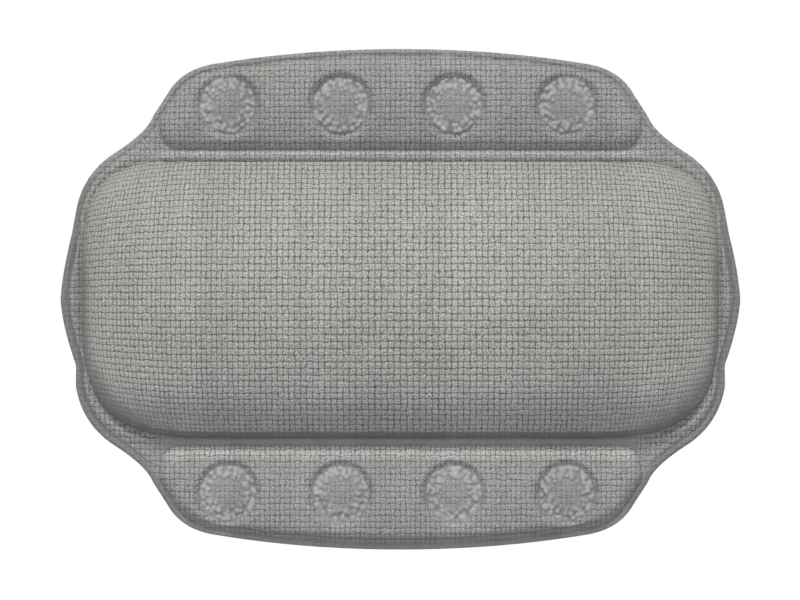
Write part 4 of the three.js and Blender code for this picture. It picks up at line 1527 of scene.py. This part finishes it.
class BathPillowStage(bpy.types.Operator):
    """White floor, soft light from above the face's upper edge, and a camera straight above"""

    bl_idname = "bath_pillow.stage"
    bl_label = "Stage"

    def execute(self, context):
        scene = context.scene
        scene.view_settings.view_transform = "Standard"
        self.floor()
        self.room(scene)
        self.lamp(scene, "key", KEY, KEY_SPREAD, KEY_FROM, colours().key)
        self.lamp(scene, "under", UNDER, UNDER_SPREAD, UNDER_FROM, colours().ambient)
        self.camera(scene)
        return {"FINISHED"}

    def floor(self):
        bm = bmesh.new()
        low = Matrix.Translation((0, 0, -FLOOR_DROP))
        bmesh.ops.create_grid(bm, x_segments=2, y_segments=2, size=FLOOR_HALF, matrix=low)
        material, nodes, shader = new_material("white_floor")
        shader.inputs["Roughness"].default_value = 0.9
        camera = nodes.add("ShaderNodeLightPath").outputs["Is Camera Ray"]
        greys = (opaque([level] * 3) for level in (FLOOR_BOUNCE, FLOOR_PALE))
        nodes.feed(nodes.mix(camera, *greys), shader.inputs["Base Color"])
        white = nodes.add("ShaderNodeEmission", {"Color": WHITE, "Strength": FLOOR_WHITE}).outputs[0]
        above = nodes.blended(nodes.times(nodes.seen(), FLOOR_SHARE), shader.outputs[0], white)
        clear = nodes.add("ShaderNodeBsdfTransparent").outputs[0]
        below = nodes.add("ShaderNodeNewGeometry").outputs["Backfacing"]
        surface = material.node_tree.nodes["Material Output"].inputs["Surface"]
        nodes.feed(nodes.blended(below, above, clear), surface)
        floor = finished(bm, "floor", material, smooth=False)
        floor.visible_shadow = False

    def room(self, scene):
        world = bpy.data.worlds.new("room")
        scene.world = world
        world.use_nodes = True
        nodes = Nodes(world.node_tree)
        way = nodes.add("ShaderNodeTexCoord").outputs["Generated"]
        height = nodes.add("ShaderNodeSeparateXYZ", {"Vector": way}).outputs["Z"]
        level = nodes.step(height, 0.0, 1.0, AMBIENT * HORIZON, AMBIENT * ZENITH)
        tinted = {"Color": opaque(colours().ambient), "Strength": level}
        dim = nodes.add("ShaderNodeBackground", tinted).outputs[0]
        white = nodes.add("ShaderNodeBackground", {"Color": WHITE, "Strength": 1.0}).outputs[0]
        surface = world.node_tree.nodes["World Output"].inputs["Surface"]
        nodes.feed(nodes.blended(nodes.seen(), dim, white), surface)

    def lamp(self, scene, name, strength, spread, way, colour):
        lamp = bpy.data.lights.new(name, "SUN")
        lamp.energy = strength
        lamp.angle = math.radians(spread)
        lamp.color = colour
        light = bpy.data.objects.new(name, lamp)
        light.rotation_euler = Vector(way).to_track_quat("Z", "Y").to_euler()
        scene.collection.objects.link(light)

    def camera(self, scene):
        lens = bpy.data.cameras.new("camera")
        lens.lens = LENS
        lens.sensor_width = SENSOR
        lens.clip_end = 50
        camera = bpy.data.objects.new("camera", lens)
        camera.location = (*VIEW_CENTRE, WELD_TOP + VIEW_WIDTH * LENS / SENSOR)
        scene.collection.objects.link(camera)
        scene.camera = camera


class BathPillowPanel(bpy.types.Panel):
    """Sizes, colours and pieces of the bath pillow"""

    bl_idname = "VIEW3D_PT_bath_pillow"
    bl_label = "Bath pillow"
    bl_space_type = "VIEW_3D"
    bl_region_type = "UI"
    bl_category = "Bath pillow"

    def draw(self, context):
        for group in (context.scene.bath_pillow_sizes, context.scene.bath_pillow_colours):
            column = self.layout.column(align=True)
            for key in group.__annotations__:
                column.prop(group, key)
        for operator in OPERATORS:
            self.layout.operator(operator.bl_idname)


OPERATORS = (
    BathPillowFace,
    BathPillowFlats,
    BathPillowBacks,
    BathPillowCups,
    BathPillowFillings,
    BathPillowStage,
)
CLASSES = (PillowSizes, PillowColours, *OPERATORS, BathPillowPanel)


def register():
    for each in CLASSES:
        bpy.utils.register_class(each)
    bpy.types.Scene.bath_pillow_sizes = bpy.props.PointerProperty(type=PillowSizes)
    bpy.types.Scene.bath_pillow_colours = bpy.props.PointerProperty(type=PillowColours)


def unregister():
    del bpy.types.Scene.bath_pillow_colours
    del bpy.types.Scene.bath_pillow_sizes
    for each in reversed(CLASSES):
        bpy.utils.unregister_class(each)


def main():
    register()
    bpy.ops.bath_pillow.face()
    bpy.ops.bath_pillow.flats()
    bpy.ops.bath_pillow.backs()
    bpy.ops.bath_pillow.cups()
    bpy.ops.bath_pillow.fillings()
    bpy.ops.bath_pillow.stage()


if __name__ == "__main__":
    main()
